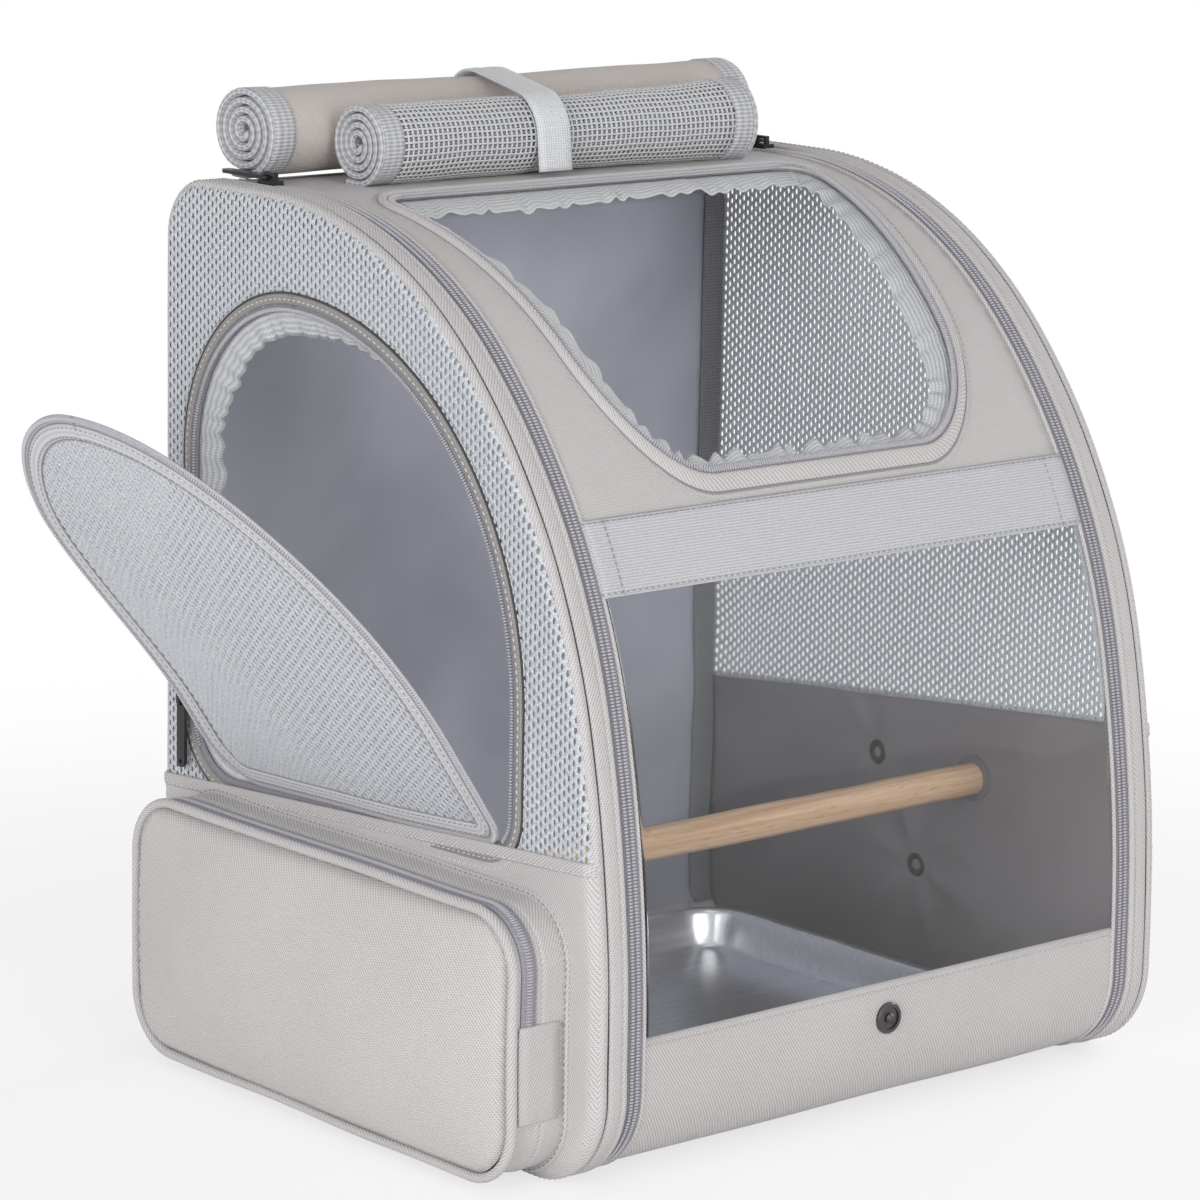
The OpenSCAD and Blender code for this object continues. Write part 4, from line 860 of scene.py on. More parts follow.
def ruffledRing(name, outline, place, section, amplitude, length, seed, reach=None):
    # a gathered band: flat where it is sewn, wavy towards its free edge
    levels = [(grow / 1000, height / 1000) for grow, height in section]
    lines = [np.vstack([line, line[:1]]) for line in (outline(grow) for grow, _ in levels)]
    run = runAlong(lines[0])
    at = np.linspace(0, run[-1], int(run[-1] / 0.0014), endpoint=False)
    plans = [np.stack([np.interp(at, run, line[:, k]) for k in (0, 1)], axis=1) for line in lines]
    centre = np.mean(lines[0][:-1], axis=0)
    turns = fullTurn * at / run[-1]
    phase = fullTurn * max(1, round(run[-1] / length)) * at / run[-1]
    quick = np.array([soft(math.cos(t), math.sin(t), 0.0, 8.0, seed) for t in turns])
    slow = np.array([soft(math.cos(t), math.sin(t), 1.0, 3.0, seed + 5) for t in turns])
    lively = 0.75 + 0.9 * np.roll(quick, 140)
    rings = []
    for k, (plan, (_, height)) in enumerate(zip(plans, levels)):
        if reach:
            plan = plans[0] + (plan - plans[0]) * reach(plans[0])[:, None]
        swing = amplitude * (k / (len(levels) - 1)) ** 1.2
        lift = swing * (lively * np.sin(phase + 4 * quick) + 0.5 * np.sin(phase * 0.5 + 3 * slow) + 1.2 * slow)
        plan = plan + unit(centre - plan) * (
            swing * (0.5 * lively * np.cos(phase + 4 * quick) + 1.6 * slow))[:, None]
        rings.append(place(plan, height + lift))
    band = thicken(lofted(name, np.stack(rings, axis=1), elasticTape, True, False), 0.0009, 0.0)
    return band


finished(ruffledRing("roofRuffle", roofOutline, onRoof, roof["ruffle"], 0.0013, 0.0125, 2.0), "ruffled_elastic",
         "top_opening_elastic")
print("front and roof made")

# the two sides: nets, lower cloths, linings; a seam is its height and its fall towards the back
side = {"netMiddle": 0.1785, "netPitch": 0.00305, "netRise": 0.00485, "netThick": 0.0007, "netWidth": 0.322,
        "corner": 0.0060, "seams": {"left": (0.140, -0.067), "right": (0.148, -0.097)},
        "eyelets": [(0.030, 0.115), (-0.001, 0.062)],
        "eyelet": [(2.7, 175.3), (3.6, 174.7), (5.0, 174.6), (6.2, 175.1), (6.6, 175.9), (6.4, 176.6),
                   (4.3, 176.7), (4.3, 179.8), (6.4, 179.9), (6.6, 180.4), (6.2, 181.1), (5.0, 181.5),
                   (3.6, 181.4), (2.7, 180.8)],
        "fold": [(0.2, 1.8), (0.9, 1.2), (1.0, -0.6), (0.6, -3.2), (0.1, -4.4), (-0.9, -4.4), (-0.9, 1.8)],
        "layers": (("SideCloth", 0.180, 0.0026, 0.0004, 0.0030, "oxford_fabric", "_side_fabric"),
                   ("SideLining", 0.1770, 0.0010, 0.0050, 0.0042, "satin_lining", "_side_lining"))}
outlineRuns = np.linspace(0, archLength, 400, endpoint=False)
archLine, hiddenLine, liningLine = (np.stack(onArch(outlineRuns, inset), axis=1)
                                    for inset in (0.0, 0.0004, 0.0050))
doorArcs = [((0.060, 0.292), 0.075, 0, 90), ((0.060, 0.207), 0.160, 90, 180),
            ((-0.084, 0.16208), 0.016, 180, 267.5), ((0.105, 0.16784), 0.030, 267.5, 360)]


def doorOutline(grow, counted=True):
    # the door's outline; counted, it has the same count of points whatever the growth, and more on the straights
    arcs = []
    for centre, radius, first, last in doorArcs:
        if counted:
            count = max(6, int(abs(last - first) * math.pi / 180 * radius / 0.003))
        else:
            count = max(3, int(abs(last - first) * math.pi / 180 * (radius + max(grow, 0)) / 0.004))
        turns = [math.radians(first + (last - first) * i / count) for i in range(count + 1)]
        arcs.append([np.array(centre) + (radius + grow) * np.array([math.cos(t), math.sin(t)]) for t in turns])
    points = []
    for arc, following in zip(arcs, arcs[1:] + arcs[:1]):
        points += arc
        if counted:
            points += [arc[-1] + (following[0] - arc[-1]) * k / 40 for k in range(1, 40)]
    return np.array(points)


# one mesh of the net, in the YZ plane: an upright six-sided hole in a six-sided field, 3.05 by 4.85 mm apart
cellOuter = [(0.561, 2.425), (2.489, 0), (0.561, -2.425), (-0.561, -2.425), (-2.489, 0), (-0.561, 2.425)]
cellInner = [(0.50, 1.45), (0.96, 0), (0.50, -1.45), (-0.50, -1.45), (-0.96, 0), (-0.50, 1.45)]
netPiece = smallPiece("netCell", [(0, y / 1000, z / 1000) for y, z in cellOuter + cellInner],
                      [(i, (i + 1) % 6, 6 + (i + 1) % 6, 6 + i) for i in range(6)])


def netSheet(name, keep, low, high, x):
    # the cells joined where keep says so between two corners (depth, height), with their map and thickness
    columns, rows = (int((high[k] - low[k]) / side[step]) + 1 for k, step in ((0, "netPitch"), (1, "netRise")))
    spots = np.array([(low[0] + i * side["netPitch"], low[1] + (j + 0.5 * (i % 2)) * side["netRise"])
                      for i in range(columns) for j in range(rows)])
    sheet = repeated(name, pointTree, [(x, a, b) for a, b in spots[keep(spots)]], netPiece, net, join=0.0002)
    places, loops = np.empty(len(sheet.data.vertices) * 3), np.empty(len(sheet.data.loops), np.int32)
    sheet.data.vertices.foreach_get("co", places)
    sheet.data.loops.foreach_get("vertex_index", loops)
    layer = sheet.data.uv_layers.new(name="UVMap")
    layer.data.foreach_set("uv", places.reshape(-1, 3)[loops][:, 1:].astype(np.float32).ravel())
    return thicken(sheet, side["netThick"], 0.0)


def fromArch(points, margin, fade):
    # nought at the arch's edge, one away from it
    return np.clip((distanceTo(points[:, 1:], archLine[::4]) - margin) / fade, 0, 1)


def hollow(points, seed, depth):
    # cloth held at its border gives a little between its seams
    points[:, 0] += depth * fromArch(points, 0.012, 0.06) * (noiseField(points, 9, seed)
                                                             + 0.5 * noiseField(points, 21, seed + 3))
    return points


def rounded(points):
    # the side wraps over the corner of the bag to its seam on the front
    radius = side["corner"]
    depth = np.minimum(distanceTo(points[:, 1:], archLine[::2]), radius)
    points[:, 0] -= np.sign(points[:, 0]) * (radius - np.sqrt(radius ** 2 - (radius - depth) ** 2))
    return points


def movedNet(points, seed):
    return rounded(hollow(
        np.column_stack([points[:, 0], heldInside(points[:, 1:], hiddenLine[::2])]), seed, 0.0012))


def movedLining(points):
    # slack inwards, and drawn together round its eyelets
    sign = np.sign(points[:, 0])
    points[:, 0] -= sign * 0.0011 * np.abs(noiseField(points, 14, 6.0)) * fromArch(points, 0.006, 0.02)
    for spot in side["eyelets"]:
        dy, dz = points[:, 1] - spot[0], points[:, 2] - spot[1]
        reach = np.hypot(dy, dz)
        points[:, 0] -= (sign * 0.0030 * np.exp(-(reach / 0.040) ** 2) * np.clip(reach / 0.012 - 0.6, 0, 1)
                         * (0.5 + 0.5 * np.sin(6 * np.arctan2(dz, dy) + spot[0] * 90)) ** 2)
    return points


doorClear = doorOutline(0.0055, False)
for name, sign in sides:
    height, fall = side["seams"][name]

    def inNet(spots):
        good = insideOutline(spots, hiddenLine) & (spots[:, 1] > height + fall * spots[:, 0] - 0.003)
        return good & ~insideOutline(spots, doorClear) if name == "left" else good

    def lowerOutline(line):
        # the part of a side's outline below its seam, and the seam's ends
        kept = np.array([p for p in line if p[1] < height + fall * p[0]])
        first = int(np.argmax(np.linalg.norm(np.diff(np.vstack([kept, kept[:1]]), axis=0), axis=1))) + 1
        kept = np.roll(kept, -first, axis=0)
        corners = [(a, height + fall * a) for a in (kept[-1][0], kept[0][0])]
        return np.vstack([kept[::2], corners]), corners

    sheet = netSheet(name + "SideNet", inNet, (-0.17, 0.10), (0.17, 0.42), sign * side["netMiddle"])
    finished(sheet, "side_mesh", name + "_side_mesh", move=lambda p: movedNet(p, 11.0 + sign))
    # the right lining takes the darker satin: painted shade
    for (label, x, thick, _, spacing, slotName, node), material, line, move in zip(
            side["layers"], (twill, satinGrey if name == "left" else satinPaintedShade), (hiddenLine, liningLine),
            (lambda p: rounded(hollow(p, 4.0 + sign, 0.0006)), movedLining)):
        outline = lowerOutline(line)[0]
        points, faces = filledSheet(outline, (), spacing)
        cloth = newPiece(name + label, [(sign * x, a, b) for a, b in points], faces, material, points)
        finished(thicken(facedOut(cloth), thick), slotName, name + node, move=move)
    # the net is sewn over the cloth with a folded edge
    x, seamEnds = side["layers"][0][1], lowerOutline(hiddenLine)[1]
    ends = np.array([(a, height + fall * a) for a in np.linspace(*sorted(end[0] for end in seamEnds), 140)])
    rings = [[(sign * (x + out / 1000), a, b + up / 1000) for out, up in side["fold"]] for a, b in ends]
    finished(lofted(name + "SeamFold", rings, twill), "oxford_fabric", move=rounded)
    stitchRow(name + "SeamStitches", [(sign * (x + 0.0007), a, b - 0.0032) for a, b in ends], (sign, 0, 0),
              threadLight, move=rounded)
for (name, sign), (label, spot) in ((a, b) for a in sides for b in zip("AB", side["eyelets"])):
    rings = [[(sign * x / 1000, spot[0] + r / 1000 * math.cos(t), spot[1] + r / 1000 * math.sin(t))
              for r, x in side["eyelet"]] for t in np.linspace(0, fullTurn, 40, endpoint=False)]
    finished(lofted(name + "Eyelet" + label, rings, blackGloss, True), "black_enamel", name + "_eyelets")
print("sides made")

# side opening: welt, half zip, ruffled elastic: sections of (growth, x) in millimetres
opening = {"zipEnd": 0.150,
           "welt": [(3.9, 177.2), (3.6, 178.8), (4.0, 179.6), (5.0, 179.95), (7.4, 179.95), (8.3, 179.5),
                    (8.5, 177.6)],
           "seam": [(8.3, 178.0), (8.4, 179.5), (8.9, 179.7), (9.4, 179.5), (9.5, 178.0)],
           "tape": [(0.0, 177.3), (-0.1, 178.3), (0.5, 178.8), (3.9, 178.9), (3.9, 177.3)],
           "ruffle": [(3.5, 0.4), (0.5, 0.6), (-2.5, 1.0), (-5.5, 1.6), (-8.0, 2.4), (-10.5, 3.2),
                      (-13.0, 4.0)],
           "narrowing": ([-0.08, -0.02, 0.05, 0.10], [0.22, 0.35, 0.8, 1.0])}
leftwards = (-1, 0, 0)


def onLeft(plan, x):
    # a (depth, height) point at a distance from the middle plane, on the left
    return np.column_stack([-np.broadcast_to(x, len(plan)), plan])


def leftRing(name, outline, section, material, slotName, *replaced, **rest):
    return finished(lofted(name, ringOf(outline, section, onLeft), material, True), slotName, *replaced, **rest)


def runAbove(height, outline):
    # the part of a closed outline above a height, from the front to the back
    high = outline[:, 1] > height
    return np.roll(outline, -int(np.argmax(high & ~np.roll(high, 1))), axis=0)[:int(high.sum())]


leftRing("openingWelt", doorOutline, opening["welt"], taupeTape, "binding_tape")
# a near-black ring in the seam outside the welt: painted shade of the gap
leftRing("openingSeam", doorOutline, opening["seam"], seamShadeBlack, "binding_tape")
leftRing("openingZipTape", doorOutline, opening["tape"], zipTapeDark, "zip_tape", "side_opening_zip")
# the door is sewn on along its lower edge, so the zip ends there
beadRow(halfCoil, "openingCoil", onLeft(runAbove(opening["zipEnd"], doorOutline(0.0011)), 0.1795), leftwards)
for label, grow, x in (("Inner", 0.0060, 0.1801), ("Outer", 0.0108, 0.1797)):
    stitchRow("openingStitches" + label, onLeft(doorOutline(grow), x), leftwards, threadLight, closed=True)
finished(ruffledRing("openingRuffle", doorOutline, lambda plan, depth: onLeft(plan, 0.1766 - depth),
                     opening["ruffle"], 0.0014, 0.0115, 9.0,
                     lambda plan: np.interp(plan[:, 0], *opening["narrowing"])),
         "ruffled_elastic", "side_opening_elastic")

# side door, unzipped and leaning out over the pocket
door = {"hinge": (-0.1797, 0.0, 0.1424), "tilt": 2.5, "open": -33.0, "bow": 0.005, "middle": (0.02, 0.25),
        "reach": (0.13, 0.115), "slack": 0.028, "body": "side_door",
        "tape": [(-0.6, 177.9), (-0.5, 178.9), (-1.0, 179.3), (-4.9, 179.4), (-4.9, 177.8), (-1.2, 177.7)],
        "binding": [(-4.9, 177.4), (-4.8, 179.3), (-5.4, 179.9), (-6.6, 180.1), (-10.2, 180.1), (-12.2, 179.9),
                    (-12.8, 179.3), (-12.8, 177.9), (-12.2, 177.2), (-10.0, 176.9), (-5.6, 176.9)],
        "seam": [(0.35, 178.2), (0.3, 179.5), (0, 179.65), (-0.35, 179.5), (-0.4, 178.2)]}
doorMatrix = np.array(Matrix.Translation(door["hinge"]) @ Matrix.Rotation(math.radians(door["open"]), 4, Vector(
    (0, math.cos(math.radians(door["tilt"])), -math.sin(math.radians(door["tilt"])))))
    @ Matrix.Translation(-Vector(door["hinge"])))


def doorPlace(points):
    # from the closed door's plane to where it leans, a little bowed
    u, v = ((points[:, k + 1] - door["middle"][k]) / door["reach"][k] for k in (0, 1))
    points[:, 0] -= door["bow"] * np.clip(1 - u * u, 0, 1) * np.clip(1 - v * v, 0, 1)
    points[:, 0] += 0.0007 * noiseField(points, 16, 5.5)
    # the back edge hangs in a slack curve low down
    low = np.clip((0.300 - points[:, 2]) / 0.110, 0, 1)
    points[:, 1] -= (door["slack"] * np.clip((points[:, 1] - 0.02) / 0.10, 0, 1) ** 1.3
                     * low * low * (3 - 2 * low))
    return points @ doorMatrix[:3, :3].T + doorMatrix[:3, 3]


onDoor = {"body": door["body"], "move": doorPlace}
doorEdge = doorOutline(-0.0100, False)
doorNet = netSheet("doorNet", lambda spots: insideOutline(spots, doorEdge), (-0.12, 0.12), (0.15, 0.39),
                   -0.1786)
finished(doorNet, "side_mesh", "door_mesh", **onDoor)
leftRing("doorZipTape", doorOutline, door["tape"], zipTapePale, "zip_tape", **onDoor)
leftRing("doorBinding", doorOutline, door["binding"], grosgrain, "binding_tape", "door_binding", **onDoor)
for label, seam in (("Outer", -4.5), ("Inner", -13.1)):
    leftRing("doorSeam" + label, doorOutline, [(seam + grow, x) for grow, x in door["seam"]], threadDark,
             "binding_tape", **onDoor)
beadRow(halfCoil, "doorCoil", onLeft(runAbove(opening["zipEnd"], doorOutline(-0.0018)), 0.1797), leftwards,
        **onDoor)
for label, grow in (("Outer", -0.0064), ("Inner", -0.0114)):
    stitchRow("doorStitches" + label, onLeft(doorOutline(grow), 0.1801), leftwards, threadDark, "binding_tape",
              True, **onDoor)
print("side opening and door made")

# pocket: walls, zip, cushioned front, piping
pocket = {"low": (-0.141, 0.006), "high": (0.140, 0.129), "radius": 0.028, "skin": 0.2073, "edge": 0.003,
          "crown": 0.016, "fold": 0.076, "piping": (0.002645, 0.0023), "pipingX": 0.2095,
          "blend": ((-0.2263, 0, 0.066), (-0.2263, 0, 0.086)),
          "walls": [(-2.6, 179.4), (3.1, 179.4), (3.5, 180.4), (3.1, 181.3), (2.2, 181.6), (1.4, 181.3),
                    (0.9, 180.9), (0.6, 181.5), (0.8, 183.5), (0.6, 187), (0.9, 191.0), (0.9, 192.3),
                    (0.35, 192.9), (0.1, 193.3), (0.5, 193.9), (0.5, 194.9), (0.1, 195.8), (-0.1, 196.4),
                    (-0.1, 205.2), (0.3, 206.0), (0.2, 207.6), (-0.8, 208.3), (-2.4, 208.2), (-2.6, 206)],
          "tape": [(-0.2, 196.6), (1.0, 196.9), (1.0, 200.3), (1.0, 201.3), (1.0, 204.7), (-0.2, 205.0)],
          "tabAcross": [(183.0, 0.2, 0), (183.3, 1.5, 1), (189, 1.8, 1), (195, 1.7, 1), (201, 1.9, 1),
                        (206.2, 1.5, 1), (206.6, 0.2, 0)],
          "tabDown": [(3.2, -0.8), (3.0, 0.1), (2.2, 0.5), (1.0, 0.3), (-1.0, 0.0), (-10, 0.1), (-20, 0.0),
                      (-30, 0.1), (-40, 0.0), (-41, -0.6)]}
sag = uneven((0.0006, 18, 2.2), (0.0007, 15, 9.1))


def pocketOutline(grow):
    return roundedOutline(boxCorners(pocket["low"], pocket["high"], grow),
                          [pocket["radius"] + grow] * 4, 20, 50)


def pocketZip(grow):
    return runAbove(pocket["fold"], pocketOutline(grow))


leftRing("pocketWalls", pocketOutline, pocket["walls"], twill, "oxford_fabric", "pocket_gusset", move=sag)
stitchRow("pocketFootStitches", onLeft(pocketOutline(0.0024), 0.1817), leftwards, closed=True, move=sag)
finished(lofted("pocketZipTape", ringOf(pocketZip, pocket["tape"], onLeft), zipTape), "zip_tape", "pocket_zip",
         move=sag)
line = pocketZip(0.0013)
ups = np.column_stack([0 * line[:, 0], pocketZip(0.0033) - line])
beadRow(coil, "pocketCoil", onLeft(line, 0.2008), ups, move=sag)
for label, x in (("Outer", 0.2036), ("Inner", 0.1979)):
    stitchRow("pocketZipStitches" + label, onLeft(pocketZip(0.0011), x), ups, slotName="zip_tape", move=sag)
for label, y, way in (("Front", pocket["low"][0], -1), ("Back", pocket["high"][0], 1)):
    # a second layer of cloth closes each end of the zip, with its top edge folded in
    tab = [[(-x / 1000, y + way * (out + fat * grows) / 1000, pocket["fold"] + z / 1000)
            for x, out, grows in pocket["tabAcross"]] for z, fat in pocket["tabDown"]]
    finished(lofted("pocketTab" + label, tab, twill), "oxford_fabric", move=sag)

middle, halfSize = ((np.array(pocket["high"]) + way * np.array(pocket["low"])) / 2 for way in (1, -1))
points, faces = filledSheet(pocketOutline(-0.0022), (), 0.0042)
# how far the stuffed front stands out over its seam
u, v = (np.abs(points - middle) / (halfSize - 0.001)).T
share = np.clip((1 - u ** 2.4) * (1 - v ** 2.2), 0, 1)
swell = pocket["edge"] * np.clip(share * 12, 0, 1) ** 0.5 + pocket["crown"] * share ** 0.75
places = onLeft(points, pocket["skin"] + swell)
places[:, 0] += 0.0009 * noiseField(places, 13, 1.4) * np.clip(swell / 0.006, 0, 1)
cushion = thicken(facedOut(newPiece("pocketFrontCushion", places, faces, twillPale, points)), 0.0022)
pipe = pocketOutline(0.0)
pipeOut = onLeft(unit(pocketOutline(0.001) - pipe), 0)
piping = warped(lofted("pocketPiping", tubeRings(onLeft(pipe, pocket["pipingX"]), np.array(leftwards), pipeOut,
                                                 14, pocket["piping"]), twill, True), sag)
for piece, name in ((cushion, ""), (piping, "_piping")):
    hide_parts("pocket" + (name or "_front"), "pocket_flap" + name)
    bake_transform(piece)
print("pocket made")

# the two covers, rolled up on the roof
rolls = {"cover": {"centre": (0.1365, 0.442), "radii": (0.025, 0.022), "turns": 4.25, "thick": 0.0022,
                   "half": 0.150, "tape": 0.0125, "flare": 0.05},
         "screen": {"centre": (0.0915, 0.438), "radii": (0.0195, 0.0195), "turns": 4.25, "thick": 0.0011,
                    "half": 0.117, "tape": 0.0125, "flare": 0.10, "pitch": 0.0030, "thread": (0.0010, 0.0005),
                    "coreHalf": 0.112, "coreTurns": 2.4}}
turnSteps = 30


def winding(roll, firstTurn=0.0, steps=turnSteps):
    # the wound cloth's path in (depth, height) and its outward directions
    turns = roll["turns"]
    shares = np.linspace(firstTurn / turns, 1, int(steps * (turns - firstTurn)) + 1)
    angle = np.radians(270 - 360 * turns * (1 - shares))
    radial = np.stack([np.cos(angle), np.sin(angle)], axis=1)
    path = np.array(roll["centre"]) + radial * (0.16 + 0.84 * shares)[:, None] * np.array(roll["radii"])
    tail = [path[-1] + np.array([0.002, 0.0001]) * k for k in range(1, 5)]
    return np.vstack([path, tail]), np.vstack([radial, np.tile([0, -1.0], (4, 1))])


def rollWarp(roll):
    # rolled by hand: not quite round, and wider at one end
    centre = np.array(roll["centre"])

    def move(points):
        wide = 1 + roll["flare"] * np.clip(
            (points[:, 0] - 0.6 * roll["half"]) / (0.4 * roll["half"]), 0, 1) ** 2
        wide += 0.035 * np.array([soft(x, 0.3, 0.7, 12.0, 4.0) for x in points[:, 0]])
        wide -= 0.05 * np.exp(-(points[:, 0] / 0.02) ** 2)
        points[:, 1:] = centre + (points[:, 1:] - centre) * wide[:, None]
        points[:, 2] += 0.0009 * noiseField(points, 30, 1.9)
        points[:, 1] += 0.0008 * noiseField(points, 27, 6.1)
        return points
    return move


def woundPiece(name, roll, xs, thick, material, slotName, *replaced, lastTurn=None, lift=0.0):
    path, radial = winding(roll)
    if lastTurn:
        cut = int(turnSteps * lastTurn)
        path, radial = path[:cut], radial[:cut]
    section = np.vstack([path + radial * lift, (path - radial * (thick - lift))[::-1]])
    rings = [np.column_stack([np.full(len(section), x), section]) for x in xs]
    return finished(lofted(name, rings, material), slotName, *replaced, move=rollWarp(roll))


cover, screen = rolls["cover"], rolls["screen"]
coverPiece = woundPiece("coverRoll", cover, np.linspace(-0.1495, 0.1495, 60), cover["thick"], coverCloth,
                        "cover_fabric", "cover_roll")
for label, way in (("Left", -1), ("Right", 1)):
    for name, roll in rolls.items():
        woundPiece(name + "Edging" + label, roll,
                   np.linspace(roll["half"] - roll["tape"], roll["half"], 5) * way,
                   roll["thick"] + 0.0012, foldedTape, "binding_tape", lift=0.0006)
        path, radial = winding(roll)
        path = path - radial * roll["thick"] / 2
        step = np.gradient(path, axis=0)
        normal = np.column_stack([0 * step[:, 0], unit(np.stack([-step[:, 1], step[:, 0]], axis=1))])
        rim = tubeRings(np.column_stack([np.full(len(path), way * roll["half"]), path]), np.array([1, 0, 0]),
                        normal, 10, (0.0017, 0.0017))
        finished(lofted(name + "Rim" + label, rim, foldedTape), "binding_tape", move=rollWarp(roll))

# the mesh cover's open threads, along the roll and round it, joined in one mesh
path, radial = winding(screen, 2.25, 26)
along = runAlong(path)
inner = screen["half"] - screen["tape"]
threads = [(np.column_stack([np.full(len(path), x), path]), np.array([1.0, 0, 0]),
            np.column_stack([0 * along, radial])) for x in np.arange(-inner, inner + 1e-6, screen["pitch"])]
for at in np.arange(0, along[-1], screen["pitch"]):
    spot, out = (np.array([np.interp(at, along, line[:, k]) for k in (0, 1)]) for line in (path, radial))
    out = unit(out)
    threads.append((np.column_stack([np.linspace(-screen["half"] + 0.01, screen["half"] - 0.01, 24),
                                     np.tile(spot + out * 0.0002, (24, 1))]),
                    np.array([0, -out[1], out[0]]), np.array([0, *out])))
points, faces = [], []
for centres, sideways, outwards in threads:
    start, count = len(points), len(centres)
    w, t = (sideways * screen["thread"][0] / 2, outwards * screen["thread"][1] / 2)
    points += [tuple(corner) for ring in zip(centres - w - t, centres + w - t, centres + w + t, centres - w + t)
               for corner in ring]
    faces += [[start + a * 4 + b % 4 for a, b in ((i, j), (i, j + 1), (i + 1, j + 1), (i + 1, j))]
              for i in range(count - 1) for j in range(4)]
    faces += [[start + j for j in (3, 2, 1, 0)], [start + (count - 1) * 4 + j for j in range(4)]]
screenPiece = finished(outward(newPiece("screenRoll", points, faces, screenYarn)), "screen_mesh", "mesh_roll",
                       move=rollWarp(screen))
core = woundPiece("screenCore", screen, np.linspace(-screen["coreHalf"], screen["coreHalf"], 24),
                  screen["thick"], screenYarn, "screen_mesh", lastTurn=screen["coreTurns"])

# the strap lies over both rolls, along the upper hull of their outlines
strap = {"half": 0.0100, "thick": 0.0014, "room": 0.0004, "start": (0.1632, 0.352), "bend": (0.1632, 0.393),
         "end": (0.0705, 0.4212), "skew": 0.020, "shift": 0.006, "press": 0.962, "rows": 90,
         "section": ((-1, 0), (-1, 1), (-0.5, 1.15), (0, 1), (0.5, 1.15), (1, 1), (1, 0), (0, 0))}
hull = [strap["start"], strap["bend"], strap["end"]]
for roll in (cover, screen):
    hull += [tuple(np.array(roll["centre"]) + np.array([math.cos(t), math.sin(t)])
                   * (np.array(roll["radii"]) * strap["press"] + strap["room"]))
             for t in np.linspace(0, fullTurn, 80, endpoint=False)]
upper = []
for p in sorted(set(hull), key=lambda p: (-p[0], p[1])):
    while len(upper) > 1 and ((upper[-1][0] - upper[-2][0]) * (p[1] - upper[-2][1])
                              - (upper[-1][1] - upper[-2][1]) * (p[0] - upper[-2][0])) <= 0:
        upper.pop()
    upper.append(p)
upper = np.array(upper)
lengths = runAlong(upper)
at = np.linspace(0, lengths[-1], strap["rows"])
path = np.stack([np.interp(at, lengths, upper[:, k]) for k in (0, 1)], axis=1)
path[1:-1] = (path[:-2] + 2 * path[1:-1] + path[2:]) / 4
step = np.gradient(path, axis=0)
out = unit(np.stack([step[:, 1], -step[:, 0]], axis=1))
out *= np.sign(out[strap["rows"] // 2][1])
rings = []
for p, n, share in zip(path, out, np.linspace(0, 1, strap["rows"])):
    askew = strap["skew"] * np.clip((share - 0.35) / 0.5, 0, 1) - strap["shift"]
    rings.append([(x * strap["half"] - askew, *(p + n * h * strap["thick"])) for x, h in strap["section"]])
finished(lofted("rollStrap", rings, strapTape), "webbing", "roll_strap")
print("rolls and strap made")

# base, back, linings and tapes
shell = {"half": 0.161, "corner": float(archRun[np.argmax((archPoints[:, 0] > 0.1419)
                                                          & (archPoints[:, 1] < floorHigh))])}
for name, runs, inset, counts, swell, thick, node in (
        ("basePanelCloth", (bottomRun, shell["corner"]), 0.0006, (30, 40), lambda x, s: 0 * x, 0.0028,
         "base_panel"),
        ("backPanelCloth", (shell["corner"], archLength + math.pi / 2 * bag["backTop"]), 0.0012, (90, 60),
         lambda x, s: 0.0010 * np.cos(x * 9.5) * np.abs(np.sin((s - shell["corner"]) * 14)), 0.0026,
         "back_panel")):
    sheet = archSheet(name, runs, shell["half"], inset, counts, swell, twill, thick, "oxford_fabric", node)
for z in (0.1495, 0.3845):
    stitchRow("backSeam%d" % round(z * 1000), [(x, 0.1622, z) for x in np.linspace(-0.158, 0.158, 110)],
              (0, 1, 0))

lining = {"half": 0.1755, "low": 0.0072, "high": 0.392, "y": 0.1578, "cornerY": 0.1376, "wrinkle": 0.0022,
          "tape": [(-7.0, 0.0), (-6.9, -0.9), (-6.0, -1.25), (0, -1.15), (6.0, -1.25), (6.9, -0.9), (7.0, 0.0)],
          "tapeX": 0.1688, "tapeLow": 0.010}


def liningBack(z):
    # it follows the rounded corner of the back down to the floor
    below = np.clip(bag["backCorner"] - np.asarray(z), 0, bag["backCorner"])
    return np.minimum(lining["y"], lining["cornerY"] + np.sqrt(bag["backCorner"] ** 2 - below ** 2))


zGrid, xGrid = np.meshgrid(np.linspace(lining["low"], lining["high"], 90),
                           np.linspace(-lining["half"], lining["half"], 90), indexing="ij")
held = (np.clip((lining["half"] - 0.016 - np.abs(xGrid)) / 0.05, 0, 1)
        * np.clip((zGrid - lining["low"]) / 0.03, 0, 1) * np.clip((lining["high"] - zGrid) / 0.03, 0, 1))
folds = np.array([soft(a * 0.5, 0.2, b, 9.0, 3.3) + 0.5 * soft(a, 0.4, b * 0.6, 19.0, 8.8)
                  for a, b in zip(xGrid.ravel(), zGrid.ravel())]).reshape(xGrid.shape)
slack = lining["wrinkle"] * held * (0.8 + folds + 0.5 * np.sin(zGrid * 30 + xGrid * 14))
satin = lofted("backLiningSatin", np.stack([xGrid, liningBack(zGrid) - slack, zGrid], axis=2), satinGrey,
               closedSection=False)
satin.data.flip_normals()
finished(thicken(satin, 0.0008), "satin_lining", "back_lining")
zs = np.linspace(lining["tapeLow"], lining["high"], 100)
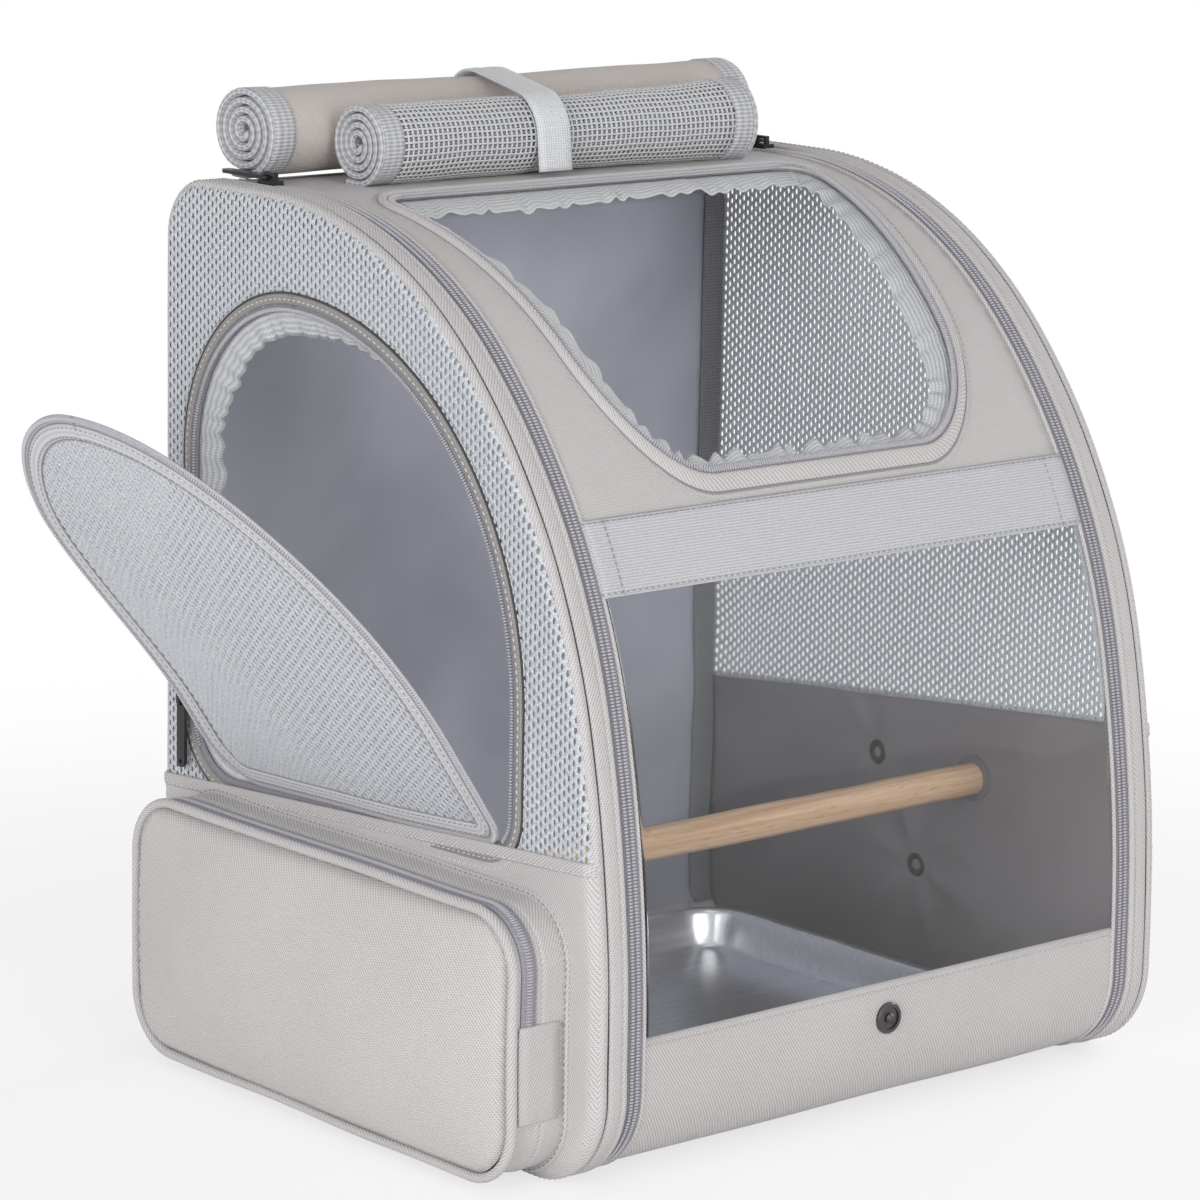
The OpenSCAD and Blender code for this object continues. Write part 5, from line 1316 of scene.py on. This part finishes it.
for label, way in (("Left", -1), ("Right", 1)):
    rings = [[(way * lining["tapeX"] + x / 1000 + 0.0004 * soft(z, way, 0.5, 30.0),
               liningBack(z) - 0.0010 + d / 1000, z) for x, d in lining["tape"]] for z in zs]
    finished(lofted("cornerTape" + label, rings, darkTape), "binding_tape",
             *(["corner_tapes"] if way < 0 else []))
    for row, offset in (("A", -0.0052), ("B", 0.0052)):
        stitchRow("cornerTapeStitches" + label + row,
                  [(way * lining["tapeX"] + offset, liningBack(z) - 0.0023, z) for z in zs], (0, -1, 0),
                  slotName="binding_tape")

# steel tray: its section of (growth, height) in millimetres, from the inner floor over the rim and back beneath
tray = {"low": (-0.132, -0.111), "high": (0.132, 0.103), "radius": 0.030, "foot": 0.0073,
        "section": [(-16, 0.05), (-13.6, 0.0), (-12.3, 0.4), (-11.3, 1.4), (-10.6, 2.8), (-8.5, 8.2),
                    (-6.3, 13.7), (-5.0, 16.9), (-4.5, 18.0), (-3.6, 18.75), (-2.4, 19.0), (-0.5, 19.0),
                    (-0.1, 19.2), (0.0, 19.5), (-0.1, 19.85), (-0.5, 20.0), (-3.0, 20.0), (-4.2, 19.7),
                    (-5.2, 18.9), (-5.9, 17.5), (-7.2, 14.2), (-9.4, 8.7), (-11.6, 3.3), (-12.4, 2.0),
                    (-13.6, 1.2), (-15.6, 1.0), (-18, 1.0)]}
trayRings = ringOf(
    lambda grow: roundedOutline(boxCorners(tray["low"], tray["high"], grow),
                                [tray["radius"] + grow] * 4, 22, 24),
    tray["section"], lambda plan, h: np.column_stack([plan, np.full(len(plan), tray["foot"] + h)]))
trayPiece = lofted("steelTray", trayRings, stainless, True, False)
finished(outward(trayPiece, openEdges=True), "stainless_steel", "tray", body="tray_body")
print("linings and tray made")

# back: padded straps, adjusters, webbing, handle
harness = {"x": 0.075, "width": 0.060, "thick": 0.010, "bow": 0.024, "top": 0.378, "drop": 0.222, "back": 0.162,
           "quilt": 0.018, "edge": [(-0.0125, -0.0006), (-0.0122, 0.0008), (0.0122, 0.0008), (0.0125, -0.0006)],
           "webbing": [(0.1672, 0.1225), (0.1672, 0.118), (0.1668, 0.105), (0.1660, 0.088), (0.1648, 0.070),
                       (0.1636, 0.057), (0.1634, 0.050), (0.1634, 0.040), (0.1634, 0.030)]}


def swelling(share):
    return (1 - math.cos(fullTurn * share)) / 2


def signedPower(value, power):
    return abs(value) ** power * (1 if value > 0 else -1)


def padMove(points):
    return points + np.column_stack([0.0005 * noiseField(points, 25, 3), 0.0004 * noiseField(points, 28, 6),
                                     0 * points[:, 0]])


for label, way in sides:
    rings = []
    for share in np.concatenate([[-0.02, -0.012], np.linspace(0, 1, 60), [1.012, 1.02]]):
        inside = min(max(share, 0), 1)
        y = harness["back"] + harness["thick"] / 2 + harness["bow"] * swelling(inside)
        z = harness["top"] - harness["drop"] * inside - (share - inside) * 0.25
        end = min(1.0, (0.03 + min(share + 0.02, 1.02 - share)) / 0.09) ** 0.5
        slope = -harness["bow"] * math.pi * math.sin(fullTurn * inside) / harness["drop"]
        ring = []
        for t in np.linspace(0, fullTurn, 26, endpoint=False):
            wide = harness["width"] / 2 * signedPower(math.cos(t), 0.5)
            high = harness["thick"] / 2 * signedPower(math.sin(t), 0.62) * end
            quilt = 1 - 0.05 * math.exp(-((abs(wide) - harness["quilt"]) / 0.0022) ** 2)
            ring.append((way * harness["x"] + wide, y + high * quilt, z + high * slope))
        rings.append(ring)
    pad = finished(lofted(label + "ShoulderPad", rings, padCloth), "oxford_fabric", label + "_shoulder_pad",
                   move=padMove)
    for row, offset in (("A", -harness["quilt"]), ("B", harness["quilt"])):
        line = [(way * harness["x"] + offset,
                 harness["back"] + harness["thick"] + harness["bow"] * swelling(share) - 0.0002,
                 harness["top"] - harness["drop"] * share) for share in np.linspace(0.02, 0.98, 80)]
        stitchRow(label + "PadStitches" + row, line, (0, 1, 0), threadLight)
    rings = [[(way * harness["x"] + x, y + d, z) for x, d in harness["edge"]] for y, z in harness["webbing"]]
    finished(lofted(label + "StrapWebbing", rings, webbing), "webbing", label + "_webbing")

handle = {"half": 0.038, "foot": 0.014, "reach": 0.026, "thick": 0.004, "z": 0.360, "width": 0.025}
rings = []
for share in np.linspace(0, 1, 50):
    x = -handle["half"] + 2 * handle["half"] * share
    inner = min(max((share * 2 * handle["half"] - handle["foot"])
                    / (2 * (handle["half"] - handle["foot"])), 0), 1)
    y = harness["back"] + handle["thick"] / 2 + (handle["reach"] - handle["thick"]) * swelling(inner)
    narrow = 1 - 0.12 * min(1, inner * (1 - inner) * 8)
    rings.append([(x, y + handle["thick"] / 2 * signedPower(math.sin(t), 0.7),
                   handle["z"] + narrow * handle["width"] / 2 * signedPower(math.cos(t), 0.55))
                  for t in np.linspace(0, fullTurn, 20, endpoint=False)])
finished(lofted("grabHandle", rings, webbing), "webbing", "grab_handle")

# finishes of the rigid pieces
rigid = {"base_board": boardCloth, "snap_stud": gunmetal, "perch": beech, "perch_washers": washerNylon,
         "perch_screws": blackEnamel, "left_adjuster": strapBlack, "right_adjuster": strapBlack}
rigid.update({name + part: blackEnamel for name in ("pocket", "door", "left_arch", "right_arch")
              for part in ("_slider", "_pull")})
for name, material in rigid.items():
    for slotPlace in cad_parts[name].material_slots:
        slotPlace.material = material
print("back and rigid finishes done")
